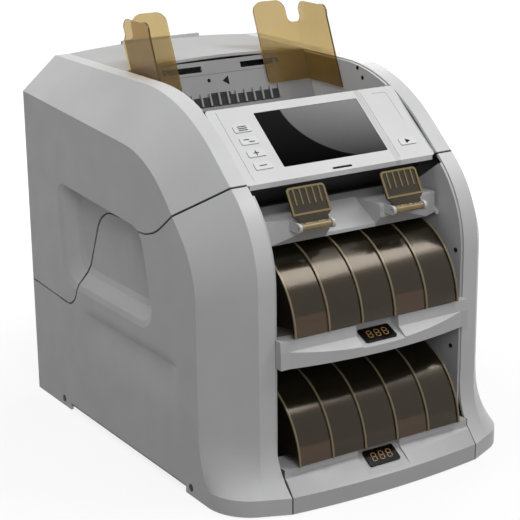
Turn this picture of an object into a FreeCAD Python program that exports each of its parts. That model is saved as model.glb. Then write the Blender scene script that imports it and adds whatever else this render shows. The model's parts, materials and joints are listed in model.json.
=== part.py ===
import FreeCAD, Part
import Sketcher
import math
import os
import re

# Banknote counter with a hinged upper unit, a reject pocket and two stacker pockets.
# Millimetres and degrees. +X right, +Y towards the back, +Z up, origin under the middle of the part.

Vector = FreeCAD.Vector

DIMENSIONS = {
    # Moulded housing, seen in section across the machine
    "housing_width": 346.0,
    "bay_width": 228.0,
    "strip_width": 18.0,
    "rear_face": 223.5,
    "shell_wall": 3.0,
    # Crown: the outline of the flat strip beside the bay, in side view
    "crown_height": 384.5,
    "crown_start": 18.5,
    "crown_radius": 200.0,
    "crown_turn": 40.5,
    "front_face": -187.0,
    "nose_radius": 115.5,
    # Shoulder: the outline of the side wall, in side view
    "shoulder_height": 349.5,
    "shoulder_fall": 3.87,
    "shoulder_start": -8.0,
    "shoulder_radius": 120.0,
    "shoulder_turn": 47.0,
    "shoulder_front": -141.5,
    "shoulder_nose_radius": 90.0,
    # Flared foot
    "flare_start": 95.0,
    "flare_top": 75.0,
    "flare_depth": 28.0,
    "foot_band": 18.0,
    "foot_corner_start": -156.5,
    "foot_corner_radius": 50.0,
    "foot_corner_turn": 70.0,
    "foot_bow": 7.5,
    "skirt_lift": 9.0,
    "rear_tab_start": 140.5,
    "front_tab_end": -114.5,
    # Split between the lower and the upper housings, in side view
    "hinge_axis_y": 211.5,
    "hinge_axis_z": 146.0,
    "hinge_cup_radius": 13.0,
    "split_low_y": 121.0,
    "split_low_z": 128.0,
    "split_low_radius": 25.0,
    "split_high_y": 69.5,
    "split_high_z": 248.0,
    "split_high_radius": 40.0,
    "split_mid_y": -59.0,
    "split_mid_z": 250.0,
    "split_mid_radius": 80.0,
    "split_front_y": -147.5,
    "split_front_z": 315.4,
    "seam_gap": 1.0,
    "parting_angle": 26.6,
    # Grip recess moulded into each side
    "recess_rear": 150.0,
    "recess_rear_low": 142.0,
    "recess_front": -36.0,
    "recess_front_low": -62.0,
    "recess_low": 150.0,
    "recess_high": 264.0,
    "recess_fall": 11.0,
    "recess_depth": 12.0,
    "recess_rear_run": 34.0,
    "recess_low_run": 26.0,
    "recess_edge_run": 4.0,
    "recess_corner": 14.0,
    "recess_radius": 24.0,
    # Clearances between pieces
    "running_clearance": 0.05,
    "sliding_clearance": 0.3,
    "panel_clearance": 0.5,
    "floor_clearance": 1.0,
    "slot_roundness": 0.49,
    # Base plate, feet and housing screws
    "sheet_metal": 2.0,
    "base_level": 4.0,
    "base_front": -146.5,
    "base_flange": 18.0,
    "foot_pad_radius": 9.0,
    "foot_pad_across": 270.0,
    "foot_pad_front": -125.0,
    "foot_pad_rear": 195.0,
    "screw_height": 9.5,
    "screw_radius": 1.5,
    "screw_length": 7.0,
    "screw_head_radius": 3.8,
    "screw_head_height": 1.4,
    "front_screw_y": -124.5,
    "rear_screw_y": 156.5,
    # Side frames of the lower and the upper unit
    "frame_plate": 2.5,
    "frame_margin": 5.0,
    "path_margin": 3.0,
    "frame_setback": 1.2,
    "frame_nose_turn": 43.0,
    "frame_rear": 200.0,
    "upper_frame_bottom": 262.0,
    "upper_frame_rear": 127.0,
    "upper_frame_low": 160.0,
    "upper_frame_run": 38.0,
    "upper_frame_top": 381.0,
    # Hinge of the upper unit
    "knuckle_radius": 10.0,
    "knuckle_length": 28.0,
    "knuckle_start": 42.0,
    "hinge_pin_radius": 3.0,
    # Rear panel
    "vent_width": 4.0,
    "vent_height": 40.0,
    "vent_pitch": 9.0,
    "vent_first": -92.0,
    "vent_count": 10.0,
    "vent_low": 70.0,
    "inlet_x": 62.0,
    "inlet_z": 40.0,
    "inlet_width": 28.0,
    "inlet_height": 20.0,
    "inlet_depth": 22.0,
    "inlet_cavity": 15.4,
    "switch_x": 20.0,
    "switch_width": 14.0,
    "switch_height": 21.0,
    "switch_depth": 10.0,
    "switch_axle_radius": 1.5,
    "switch_end_gap": 1.5,
    "switch_proud": 0.8,
    # Rear top cover
    "cover_front": 95.0,
    "cover_crown": 5.0,
    "rear_lip_width": 100.0,
    "rear_lip_height": 5.5,
    "rear_lip_depth": 4.0,
    # Control panel, on its own slope
    "panel_tilt": 38.3,
    "panel_bottom_y": -139.0,
    "panel_bottom_z": 309.2,
    "panel_length": 95.0,
    "panel_thickness": 3.0,
    "panel_corner": 4.0,
    "panel_lip": 5.0,
    "panel_lip_sheet": 2.0,
    "screen_width": 124.2,
    "screen_height": 69.3,
    "screen_bottom": 15.2,
    "screen_corner": 1.5,
    "screen_sink": 0.4,
    "screen_module_margin": 4.0,
    "screen_module_depth": 9.0,
    "button_inset": 29.7,
    "button_first": 20.6,
    "button_pitch": 15.7,
    "button_width": 19.5,
    "button_height": 8.8,
    "button_proud": 0.8,
    "button_flange": 1.2,
    "start_button_inset": 23.2,
    "start_button_v": 21.8,
    "sensor_slot_width": 23.4,
    "sensor_slot_height": 2.6,
    "sensor_slot_v": 4.0,
    "panel_groove": 1.0,
    "panel_groove_depth": 0.5,
    "left_groove_inset": 10.5,
    "right_groove_margin": 8.0,
    "dish_width": 19.9,
    "dish_height": 41.0,
    "dish_v": 47.0,
    "dish_inset": 11.9,
    "dish_depth": 0.4,
    # Hopper
    "hopper_lean": 22.4,
    "plate_y": 79.5,
    "plate_z": 354.0,
    "plate_top": 33.0,
    "plate_bottom": -58.0,
    "plate_thickness": 2.5,
    "hopper_floor_z": 316.0,
    "hopper_front": -62.0,
    "hopper_front_top": 367.0,
    "hopper_throat": 40.0,
    "hopper_wall": 2.5,
    "comb_rib": 2.0,
    "comb_pitch": 11.0,
    "comb_height": 14.0,
    "comb_top": -2.0,
    "comb_depth": 2.0,
    "comb_ribs": 13.0,
    # Note guides with their racks and pinion
    "guide_sheet": 2.0,
    "guide_inner": 54.5,
    "guide_top": 91.0,
    "guide_corner": 12.0,
    "guide_foot": 6.0,
    "guide_notch_width": 14.5,
    "guide_notch_bottom": 65.0,
    "guide_wing_depth": 58.0,
    "guide_wing_drop": 24.0,
    "guide_wing_gap": 8.0,
    "guide_wing_corner": 10.0,
    "guide_travel": 40.0,
    "guide_tab_x": 69.0,
    "guide_tab_width": 8.0,
    "guide_slot_height": 6.5,
    "rack_depth": 3.5,
    "rack_height": 2.8,
    "rack_overlap": 9.0,
    "rack_teeth": 17.0,
    "pinion_v": 25.0,
    "pinion_pitch_radius": 5.0,
    "pinion_tooth_height": 0.8,
    "pinion_root_depth": 1.2,
    "pinion_tooth_width": 1.2,
    "pinion_tip_width": 0.7,
    "pinion_teeth": 10.0,
    "pinion_pin_radius": 2.0,
    # Feed rollers in the upper unit
    "roller_width": 16.0,
    "roller_pitch": 45.0,
    "shaft_radius": 4.0,
    "pickup_radius": 16.0,
    "pickup_proud": 2.0,
    "pickup_v": -34.0,
    "feed_radius": 18.0,
    "feed_v": -74.0,
    "retard_radius": 13.0,
    "feed_motor_radius": 15.0,
    "feed_motor_length": 50.0,
    "feed_motor_y": -20.0,
    "feed_motor_z": 294.0,
    # Transport along the split
    "guide_plate": 1.5,
    "path_gap": 2.0,
    "lower_guide_front": -93.0,
    "upper_guide_front": -118.0,
    "drum_radius": 28.0,
    "drum_run": 16.0,
    "drum_width": 30.0,
    "drum_pitch": 70.0,
    "drum_shaft_radius": 5.0,
    "transport_radius": 14.0,
    "idler_radius": 10.0,
    "transport_run": 95.0,
    "nip": 1.2,
    "sensor_front": -30.0,
    "sensor_rear": 12.0,
    "sensor_height": 8.0,
    # Stacker pockets
    "upper_pocket_rear": -33.0,
    "lower_pocket_rear": -41.0,
    "upper_back_top": 236.0,
    "lower_back_top": 124.0,
    "wheel_radius": 32.0,
    "wheel_hub_radius": 14.0,
    "wheel_width": 6.0,
    "wheel_setback": 24.0,
    "wheel_pitch": 60.0,
    "wheel_fingers": 10.0,
    "upper_wheel_z": 200.0,
    "lower_wheel_z": 80.0,
    "cover_side_gap": 15.15,
    "cover_radius": 78.0,
    "cover_sheet": 1.6,
    "cover_rib_height": 1.6,
    "cover_rib_width": 2.0,
    "cover_ribs": 6.0,
    "cover_end": 100.0,
    "arm_begin": 9.0,
    "arm_end": 62.0,
    "cover_arm": 1.9,
    "cover_pin_radius": 3.0,
    "upper_cover_y": -119.5,
    "upper_cover_z": 168.0,
    "upper_cover_begin": 2.6,
    "lower_cover_y": -126.5,
    "lower_cover_z": 38.0,
    "lower_cover_begin": 3.4,
    # Upper stacker tray
    "tray_front": -196.5,
    "tray_bottom": 142.0,
    "tray_ledge": 159.0,
    "tray_top": 170.0,
    "tray_floor": 162.0,
    "tray_sheet": 3.0,
    "tray_lip_depth": 15.5,
    "tray_bow": 12.0,
    "tray_bow_half": 104.0,
    "tray_ledge_fall": 8.0,
    "tray_ledge_setback": 1.2,
    # Lower front base
    "apron_top": 34.0,
    "apron_top_y": -201.5,
    "apron_flatness": 20.0,
    "base_top": 41.0,
    "base_rear": -170.0,
    "base_ledge_y": -203.0,
    "base_ledge_z": 31.9,
    "base_ledge_slope": 33.0,
    "lower_tray_z": 31.0,
    # Count displays
    "display_width": 37.0,
    "display_length": 19.0,
    "display_thickness": 2.0,
    "display_well_width": 51.0,
    "upper_display_y": -203.5,
    "upper_display_z": 152.0,
    "upper_display_tilt": 22.0,
    "upper_well_rear": -184.0,
    "lower_display_y": -212.0,
    "lower_display_z": 24.5,
    "lower_display_tilt": 30.0,
    "lower_well_rear": -193.0,
    # Reject tray and stoppers
    "reject_rear": -95.0,
    "reject_bend": -115.0,
    "reject_front": -150.0,
    "reject_front_z": 253.0,
    "reject_top": 272.0,
    "reject_sheet": 3.5,
    "block_inner": 30.0,
    "block_front": -158.0,
    "block_rise": 1.5,
    "block_face": 13.0,
    "block_nose": 4.0,
    "block_sweep": 11.0,
    "block_sweep_start": 62.0,
    "lug_sheet": 3.0,
    "lug_radius": 4.5,
    "stopper_x": 55.5,
    "stopper_width": 34.0,
    "stopper_top_width": 44.0,
    "stopper_length": 40.0,
    "stopper_neck": 8.0,
    "stopper_shoulder": 12.0,
    "stopper_frame": 2.0,
    "stopper_sheet": 2.0,
    "stopper_lean": 30.0,
    "stopper_axis_y": -170.0,
    "stopper_axis_z": 269.0,
    "stopper_barrel": 3.4,
    "stopper_pin_radius": 1.5,
    "stopper_pin_length": 2.0,
    "stopper_ribs": 5.0,
    "stopper_rib_start": 22.0,
    "stopper_rib_width": 1.4,
    "stopper_rib_height": 0.8,
    # Diverter gates
    "gate_shaft_radius": 3.0,
    "gate_length": 22.0,
    "gate_lift": 7.0,
    "gate_tip": 1.8,
    "gate_width": 12.0,
    "gate_inner": 30.0,
    "gate_outer": 92.0,
    "upper_gate_y": 42.0,
    "upper_gate_z": 214.0,
    "lower_gate_y": 40.0,
    "lower_gate_z": 100.0,
    # Drive and electrics
    "motor_y": 165.0,
    "motor_z": 60.0,
    "motor_radius": 28.0,
    "motor_length": 65.0,
    "motor_shaft_radius": 4.0,
    "pulley_offset": 6.0,
    "pulley_width": 8.0,
    "motor_pulley_radius": 10.0,
    "drum_pulley_radius": 16.0,
    "belt_thickness": 1.5,
    "supply_width": 85.0,
    "supply_gap": 6.0,
    "supply_front": 115.0,
    "supply_rear": 196.0,
    "supply_height": 48.0,
    "board_front": -60.0,
    "board_rear": 110.0,
    "board_low": 24.0,
    "board_high": 100.0,
    "board_thickness": 1.6,
    "board_standoff": 6.0,
}

doc = FreeCAD.newDocument("BanknoteCounter")
spec = doc.addObject("Spreadsheet::Sheet", "Spec")
for row, (alias, size) in enumerate(DIMENSIONS.items(), start=1):
    spec.set(f"A{row}", alias)
    spec.set(f"B{row}", str(size))
    spec.setAlias(f"B{row}", alias)
doc.recompute()

NAME = re.compile(r"[a-z_]+")
nodes = []


def value(text):
    """Number that an expression of sheet names gives."""
    return float(spec.evalExpression(str(text)))


def bound(text):
    """The same expression, written for objects outside the sheet."""
    def prefix(match):
        return "Spec." + match.group() if match.group() in DIMENSIONS else match.group()
    return NAME.sub(prefix, str(text))


def bind(item, **expressions):
    """Bind properties of an object to the sheet; __ in a name stands for a dot."""
    for name, text in expressions.items():
        item.setExpression(name.replace("__", "."), bound(text))
    return item


def finished(item, label):
    """Name a finished sub-part and list it for export."""
    item.Label = label
    nodes.append(item)
    return item


# Housing outlines, built from the sheet because a lofted, hollowed and split shell has no single feature

def side_point(y, z, x=0.0):
    return Vector(x, y, z)


def rounded_path(points, radii):
    """Edges through points, each inner corner rounded by its radius."""
    edges = []
    start = points[0]
    for corner, after, radius in zip(points[1:-1], points[2:], radii):
        towards = (start - corner).normalize()
        away = (after - corner).normalize()
        half = towards.getAngle(away) / 2
        run = radius / math.tan(half)
        first = corner + towards * run
        last = corner + away * run
        middle = corner + (towards + away).normalize() * (radius / math.sin(half) - radius)
        edges.append(Part.makeLine(start, first))
        edges.append(Part.Arc(first, middle, last).toShape())
        start = last
    edges.append(Part.makeLine(start, points[-1]))
    return edges


def turning_arc(start, radius, begin, end):
    """Arc in side view that falls forward, its slope turning from begin to end degrees."""
    def on_arc(angle):
        turn = math.radians(angle)
        low = math.radians(begin)
        return start + Vector(0, radius * (math.sin(low) - math.sin(turn)),
                              radius * (math.cos(turn) - math.cos(low)))
    finish = on_arc(end)
    return Part.Arc(start, on_arc((begin + end) / 2), finish).toShape(), finish


def falling_outline(x, inset, rear_top, fall, bend_start, bend_radius, turn, front, nose_radius):
    """Side outline: roof, bend, straight slope, nose and front, closed down to the flare."""
    rear = value("rear_face") - inset
    front += inset
    slope = math.tan(math.radians(fall))
    top = rear_top - inset / math.cos(math.radians(fall))
    roof_start = side_point(rear, top + inset * -slope, x)
    bend = side_point(bend_start, top - slope * (value("rear_face") - bend_start), x)
    first_arc, slope_start = turning_arc(bend, bend_radius - inset, fall, turn)
    nose = nose_radius - inset
    nose_start_y = front + nose * (1 - math.sin(math.radians(turn)))
    drop = (slope_start.y - nose_start_y) * math.tan(math.radians(turn))
    slope_end = side_point(nose_start_y, slope_start.z - drop, x)
    second_arc, front_top = turning_arc(slope_end, nose, turn, 90)
    base = value("flare_start")
    corners = [front_top, side_point(front, base, x), side_point(rear, base, x), roof_start]
    edges = [Part.makeLine(roof_start, bend), first_arc, Part.makeLine(slope_start, slope_end), second_arc]
    edges += [Part.makeLine(a, b) for a, b in zip(corners, corners[1:])]
    return Part.Wire(edges)


def crown_outline(x, inset):
    return falling_outline(x, inset, value("crown_height"), 0.0, value("crown_start"), value("crown_radius"),
                           value("crown_turn"), value("front_face"), value("nose_radius"))


def shoulder_outline(x, inset):
    return falling_outline(x, inset, value("shoulder_height"), value("shoulder_fall"),
                           value("shoulder_start"), value("shoulder_radius"), value("shoulder_turn"),
                           value("shoulder_front"), value("shoulder_nose_radius"))


def flare_share(height):
    """How far the flare has gone out at a height: 0 on the straight wall, 1 at the foot band."""
    depth = value("flare_depth")
    rise = value("flare_top - foot_band")
    radius = (depth ** 2 + rise ** 2) / (2 * depth)
    below = max(0.0, value("flare_top") - height)
    return (radius - math.sqrt(radius ** 2 - below ** 2)) / depth


def foot_outline(height, inset):
    """Plan outline of the flared foot at a height."""
    share = flare_share(height)
    half = value("housing_width") / 2 - inset
    strip = value("bay_width / 2 + strip_width")
    bay = value("bay_width / 2")
    radius = value("foot_corner_radius") - inset
    turn = math.radians(value("foot_corner_turn"))
    centre_y = value("foot_corner_start")
    front = value("front_face") + inset

    def blend(upper, lower):
        return upper + (lower - upper) * share

    def corner_at(angle):
        return Vector(half - radius + radius * math.cos(angle), centre_y - radius * math.sin(angle), height)
    side_upper = Vector(half, value("shoulder_front") + inset, height)
    strip_upper = Vector(strip, front, height)
    side = blend(side_upper, corner_at(0))
    middle = blend((side_upper + strip_upper) * 0.5, corner_at(turn / 2))
    corner = blend(strip_upper, corner_at(turn))
    opening = Vector(bay, front - value("flare_depth") * share, height)
    bow = Vector(0, opening.y - value("foot_bow") * share, height)
    rear = Vector(half, value("rear_face") - inset, height)

    def mirror(point):
        return Vector(-point.x, point.y, point.z)

    def run(start, through, end):
        straight = share == 0
        return Part.makeLine(start, end) if straight else Part.Arc(start, through, end).toShape()
    edges = [
        Part.makeLine(mirror(rear), rear),
        Part.makeLine(rear, side),
        run(side, middle, corner),
        Part.makeLine(corner, opening),
        run(opening, bow, mirror(opening)),
        Part.makeLine(mirror(opening), mirror(corner)),
        run(mirror(corner), mirror(middle), mirror(side)),
        Part.makeLine(mirror(side), mirror(rear)),
    ]
    return Part.Wire(edges)


# Share of the flare's height at each section below its top
FLARE_STEPS = (0.4, 0.7, 1.0)


def housing_form(inset):
    """Whole moulded body, drawn in by an inset: shoulders lofted to the crown, over a flared foot."""
    half = value("housing_width / 2") - inset
    strip = value("bay_width / 2 + strip_width")
    sections = [shoulder_outline(-half, inset), crown_outline(-strip, inset),
                crown_outline(strip, inset), shoulder_outline(half, inset)]
    upper = Part.makeLoft(sections, True, True)
    band = value("foot_band")
    start = value("flare_start")
    top = value("flare_top")
    heights = [start, top] + [top - (top - band) * share for share in FLARE_STEPS]
    flare = Part.makeLoft([foot_outline(height, inset) for height in heights], True, False)
    foot = Part.Face(foot_outline(band, inset)).extrude(Vector(0, 0, -band))
    return upper.fuse([flare, foot]).removeSplitter()


# Share of the run and of the depth at each step of the recess's soft wall
RECESS_STEPS = ((0.0, 0.0), (0.25, 0.12), (0.5, 0.45), (0.75, 0.8), (1.0, 1.0))


def grip_recess(margin):
    """Soft-walled pocket on the left side, grown by a margin; the right side mirrors it."""
    outside = margin - value("housing_width / 2")
    edge = value("recess_edge_run")

    def section(x, share):
        rear = margin - value("recess_rear_run") * share
        low = value("recess_low") - margin + value("recess_low_run") * share
        high = value("recess_high") + margin - edge * share
        front = margin - edge * share
        corners = [side_point(value("recess_rear_low") + rear, low, x),
                   side_point(value("recess_rear") + rear, high, x),
                   side_point(value("recess_front") - front, high - value("recess_fall"), x),
                   side_point(value("recess_front_low") - front, low, x)]
        start = (corners[3] + corners[0]) * 0.5
        wide = value("recess_radius") + margin
        radii = [wide, value("recess_corner") + margin, wide, wide]
        return Part.Wire(rounded_path([start] + corners + [start], radii))
    sections = [section(outside - 1, 0.0)]
    for share, deep in RECESS_STEPS:
        sections.append(section(outside + value("recess_depth") * deep, share))
    return Part.makeLoft(sections, True, True)


def below_split(offset):
    """Everything below the split, drawn back from it by an offset."""
    half = value("housing_width")
    parting = math.radians(value("parting_angle"))
    lift = Vector(0, -offset * math.sin(parting), -offset * math.cos(parting))
    hinge = side_point(value("hinge_axis_y"), value("hinge_axis_z"), -half)
    radius = value("hinge_cup_radius") + offset
    low = side_point(value("split_low_y"), value("split_low_z"), -half) + lift
    high = side_point(value("split_high_y"), value("split_high_z"), -half) + lift
    mid = side_point(value("split_mid_y"), value("split_mid_z"), -half) + lift
    front = side_point(value("split_front_y"), value("split_front_z"), -half) + lift
    ahead = mid + (front - mid) * 2
    cup_start = hinge + Vector(0, 0, -radius)
    cup_middle = hinge + Vector(0, radius, -radius) * math.sqrt(0.5)
    cup_end = hinge + Vector(0, radius, 0)
    edges = rounded_path([ahead, mid, high, low, cup_start],
                         [value("split_mid_radius"), value("split_high_radius"), value("split_low_radius")])
    edges.append(Part.Arc(cup_start, cup_middle, cup_end).toShape())
    deep = side_point(cup_end.y, -1, -half)
    corner = side_point(ahead.y, -1, -half)
    edges += [Part.makeLine(cup_end, deep), Part.makeLine(deep, corner), Part.makeLine(corner, ahead)]
    return Part.Face(Part.Wire(edges)).extrude(Vector(2 * half, 0, 0))


def block(low, high):
    size = high - low
    return Part.makeBox(size.x, size.y, size.z, low)


def mirrored_shape(shape):
    return shape.mirror(Vector(0, 0, 0), Vector(1, 0, 0))


def feature(name, shape, placement=None):
    """Document object that holds a shape built from the sheet."""
    item = doc.addObject("Part::Feature", name)
    item.Shape = shape
    item.Placement = placement or FreeCAD.Placement()
    return item


def mirror(source, label):
    """Right-hand twin of a left-hand piece."""
    twin = doc.addObject("Part::Mirroring", label)
    twin.Source = source
    twin.Normal = Vector(1, 0, 0)
    return finished(twin, label)


def x_rod(x_low, x_high, y, z, radius):
    """Plain round bar along X, as a shape."""
    return Part.makeCylinder(value(radius), value(x_high) - value(x_low),
                             Vector(value(x_low), value(y), value(z)), Vector(1, 0, 0))


def build_housings():
    """Two lower and two upper shells, parted along the S-shaped split and at the bay's edges."""
    wall = value("shell_wall")
    half = value("housing_width / 2")
    bay = value("bay_width / 2")
    far = value("housing_width")
    outside = grip_recess(0.0)
    inside = grip_recess(wall)
    outer = housing_form(0.0).cut([outside, mirrored_shape(outside)])
    inner = housing_form(wall).cut([inside, mirrored_shape(inside)])
    side = block(Vector(-far, -far, value("floor_clearance")), Vector(-bay, far, 2 * far))
    shell = outer.cut(inner).common(side)
    skirt = block(Vector(-far, value("front_tab_end"), 0),
                  Vector(far, value("rear_tab_start"), value("skirt_lift")))
    holes = []
    for y in ("front_screw_y", "rear_screw_y"):
        hole = x_rod(-half - 1, -half + wall + 1, y, "screw_height", "screw_radius + running_clearance")
        seat = x_rod(-half - 1, "-housing_width / 2 + screw_head_height", y, "screw_height",
                     "screw_head_radius + sliding_clearance")
        holes += [hole, seat]
    lower = shell.common(below_split(value("seam_gap"))).cut([skirt] + holes)
    upper = shell.cut(below_split(0.0))
    for name, shape in (("lower_housing", lower), ("upper_housing", upper)):
        left = finished(feature("left_" + name, shape.removeSplitter()), "left_" + name)
        mirror(left, "right_" + name)


# Sketched bodies: every point of an outline is bound to the sheet

def origin_plane(body, role):
    return next(item for item in body.Origin.OriginFeatures if item.Role == role)


def arc_between(start, end, radius):
    """Minor arc from start to end, counter-clockwise where the radius is positive."""
    chord = end - start
    height = math.sqrt(max(0.0, radius ** 2 - (chord.Length / 2) ** 2))
    normal = Vector(-chord.y, chord.x, 0).normalize()
    centre = (start + end) * 0.5 + normal * math.copysign(height, radius)
    first, last = (start, end) if radius > 0 else (end, start)
    begin = math.atan2(first.y - centre.y, first.x - centre.x)
    finish = math.atan2(last.y - centre.y, last.x - centre.x)
    return Part.ArcOfCircle(Part.Circle(centre, Vector(0, 0, 1), abs(radius)), begin, finish)


def from_origin(edge, end, u, v):
    """Two dimensions of a point from the sketch's origin, each with its expression."""
    return [(Sketcher.Constraint("DistanceX", -1, 1, edge, end, value(u)), u),
            (Sketcher.Constraint("DistanceY", -1, 1, edge, end, value(v)), v)]


def draw_circle(sketch, u, v, radius):
    edge = sketch.addGeometry(Part.Circle(Vector(value(u), value(v), 0), Vector(0, 0, 1), value(radius)))
    return from_origin(edge, 3, u, v) + [(Sketcher.Constraint("Radius", edge, value(radius)), radius)]


def draw(sketch, outline):
    """Closed outline of points; a third value is the signed radius of the arc that leads to its point."""
    corners = [Vector(value(point[0]), value(point[1]), 0) for point in outline]
    first = sketch.GeometryCount
    ends = []
    rules = []
    for number, point in enumerate(outline):
        start = corners[number - 1]
        radius = value(point[2]) if len(point) == 3 else 0.0
        straight = Part.LineSegment(start, corners[number])
        sketch.addGeometry(arc_between(start, corners[number], radius) if radius else straight)
        ends.append((2, 1) if radius < 0 else (1, 2))
        if radius:
            rules.append((Sketcher.Constraint("Radius", first + number, abs(radius)), f"abs({point[2]})"))
    for number, point in enumerate(outline):
        edge = first + number
        after = (number + 1) % len(outline)
        last = ends[number][1]
        rules.append((Sketcher.Constraint("Coincident", edge, last, first + after, ends[after][0]), None))
        rules += from_origin(edge, last, point[0], point[1])
    return rules


def rectangle(u_low, u_high, v_low, v_high):
    return [(u_low, v_low), (u_high, v_low), (u_high, v_high), (u_low, v_high)]


def rounded(u_low, u_high, v_low, v_high, radius):
    """Rectangle with round corners."""
    return [(f"({u_high}) - ({radius})", v_low), (u_high, f"({v_low}) + ({radius})", radius),
            (u_high, f"({v_high}) - ({radius})"), (f"({u_high}) - ({radius})", v_high, radius),
            (f"({u_low}) + ({radius})", v_high), (u_low, f"({v_high}) - ({radius})", radius),
            (u_low, f"({v_low}) + ({radius})"), (f"({u_low}) + ({radius})", v_low, radius)]


def new_body(name):
    return doc.addObject("PartDesign::Body", name)


def outline_sketch(body, plane, level, outlines):
    sketch = body.newObject("Sketcher::SketchObject", body.Name + "_outline")
    sketch.AttachmentSupport = [(origin_plane(body, plane), "")]
    sketch.MapMode = "FlatFace"
    bind(sketch, AttachmentOffset__Base__z=f"-({level})" if plane == "XZ_Plane" else level)
    rules = []
    for outline in outlines:
        rules += draw_circle(sketch, *outline[1:]) if outline[0] == "circle" else draw(sketch, outline)
    sketch.addConstraint([constraint for constraint, text in rules])
    for index, (constraint, text) in enumerate(rules):
        if text is not None:
            sketch.setExpression(f"Constraints[{index}]", bound(text))
    return sketch


def pad(body, plane, low, high, *outlines):
    """Add material between two levels along the plane's axis."""
    level = high if plane == "XZ_Plane" else low
    sketch = outline_sketch(body, plane, level, outlines)
    extrusion = body.newObject("PartDesign::Pad", body.Name + "_pad")
    extrusion.Profile = sketch
    bind(extrusion, Length=f"({high}) - ({low})")
    return extrusion


def pocket(body, plane, low, high, *outlines):
    """Take material away between two levels along the plane's axis."""
    level = low if plane == "XZ_Plane" else high
    sketch = outline_sketch(body, plane, level, outlines)
    extrusion = body.newObject("PartDesign::Pocket", body.Name + "_pocket")
    extrusion.Profile = sketch
    bind(extrusion, Length=f"({high}) - ({low})")
    return extrusion


def repeat(body, features, axis, length, count):
    """Straight row of copies of some features along a base axis of the body."""
    row = body.newObject("PartDesign::LinearPattern", body.Name + "_row")
    row.Originals = features
    row.Direction = (origin_plane(body, axis), [""])
    bind(row, Length=length, Occurrences=count)
    body.Tip = row
    return row


def turn_about(body, features, axis, count):
    """Ring of copies of some features about a base axis of the body."""
    ring = body.newObject("PartDesign::PolarPattern", body.Name + "_ring")
    ring.Originals = features
    ring.Axis = (origin_plane(body, axis), [""])
    ring.Angle = 360
    bind(ring, Occurrences=count)
    body.Tip = ring
    return ring


def place(item, angle, x, y, z):
    """Tilt a piece about X and set it at a point, both bound to the sheet."""
    item.Placement.Rotation = FreeCAD.Rotation(Vector(1, 0, 0), value(angle))
    return bind(item, Placement__Rotation__Angle=angle, Placement__Base__x=x, Placement__Base__y=y,
                Placement__Base__z=z)


def group(label, pieces):
    """Separate identical solids in one node."""
    result = doc.addObject("Part::Compound", label)
    result.Links = pieces
    return finished(result, label)


HALF_PANEL = "bay_width / 2 - panel_clearance"
FRAME_IN = "bay_width / 2 - panel_clearance - frame_plate"
INSIDE = "bay_width / 2 - 2 * panel_clearance - frame_plate"
COVER_HALF = "(bay_width / 2 - cover_side_gap)"
PULLEY = "(-bay_width / 2 - pulley_offset)"
CROWN_RUN = "(crown_start - crown_radius * sin(crown_turn) - front_face - nose_radius * (1 - sin(crown_turn)))"
CROWN_DROP = f"(crown_radius * (1 - cos(crown_turn)) + {CROWN_RUN} * tan(crown_turn))"
NOSE_Y = "(front_face + nose_radius)"
NOSE_Z = f"(crown_height - {CROWN_DROP} - nose_radius * cos(crown_turn))"
RUN_Y = "(split_high_y - split_low_y)"
RUN_Z = "(split_high_z - split_low_z)"
RUN = f"sqrt({RUN_Y}^2 + {RUN_Z}^2)"


def beside_path(run, distance):
    """Point beside the steep part of the split: run up from its foot, distance towards the upper unit."""
    y = f"split_low_y + ({run}) * {RUN_Y} / {RUN} + ({distance}) * {RUN_Z} / {RUN}"
    z = f"split_low_z + ({run}) * {RUN_Z} / {RUN} - ({distance}) * {RUN_Y} / {RUN}"
    return y, z


def beside_plate(v, w):
    """Point beside the hopper's back plate: v up along it, w in front of it."""
    y = f"plate_y + ({v}) * sin(hopper_lean) - ({w}) * cos(hopper_lean)"
    z = f"plate_z + ({v}) * cos(hopper_lean) + ({w}) * sin(hopper_lean)"
    return y, z


DRUM = beside_path("drum_run", "-drum_radius - nip")
TRANSPORT = beside_path("transport_run", "-transport_radius - nip")
IDLER = beside_path("transport_run", "idler_radius + nip / 2")
PICKUP = beside_plate("pickup_v", "pickup_proud - pickup_radius")
FEED = beside_plate("feed_v", "-feed_radius - nip / 2")
RETARD = beside_plate("feed_v", "retard_radius + nip / 2")
UPPER_WHEEL = ("upper_pocket_rear + wheel_setback + guide_plate", "upper_wheel_z")
LOWER_WHEEL = ("lower_pocket_rear + wheel_setback + guide_plate", "lower_wheel_z")
UPPER_COVER = ("upper_cover_y", "upper_cover_z")
LOWER_COVER = ("lower_cover_y", "lower_cover_z")
UPPER_GATE = ("upper_gate_y", "upper_gate_z")
LOWER_GATE = ("lower_gate_y", "lower_gate_z")


def bore(centre, radius):
    return ("circle", centre[0], centre[1], f"{radius} + running_clearance")


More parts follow.
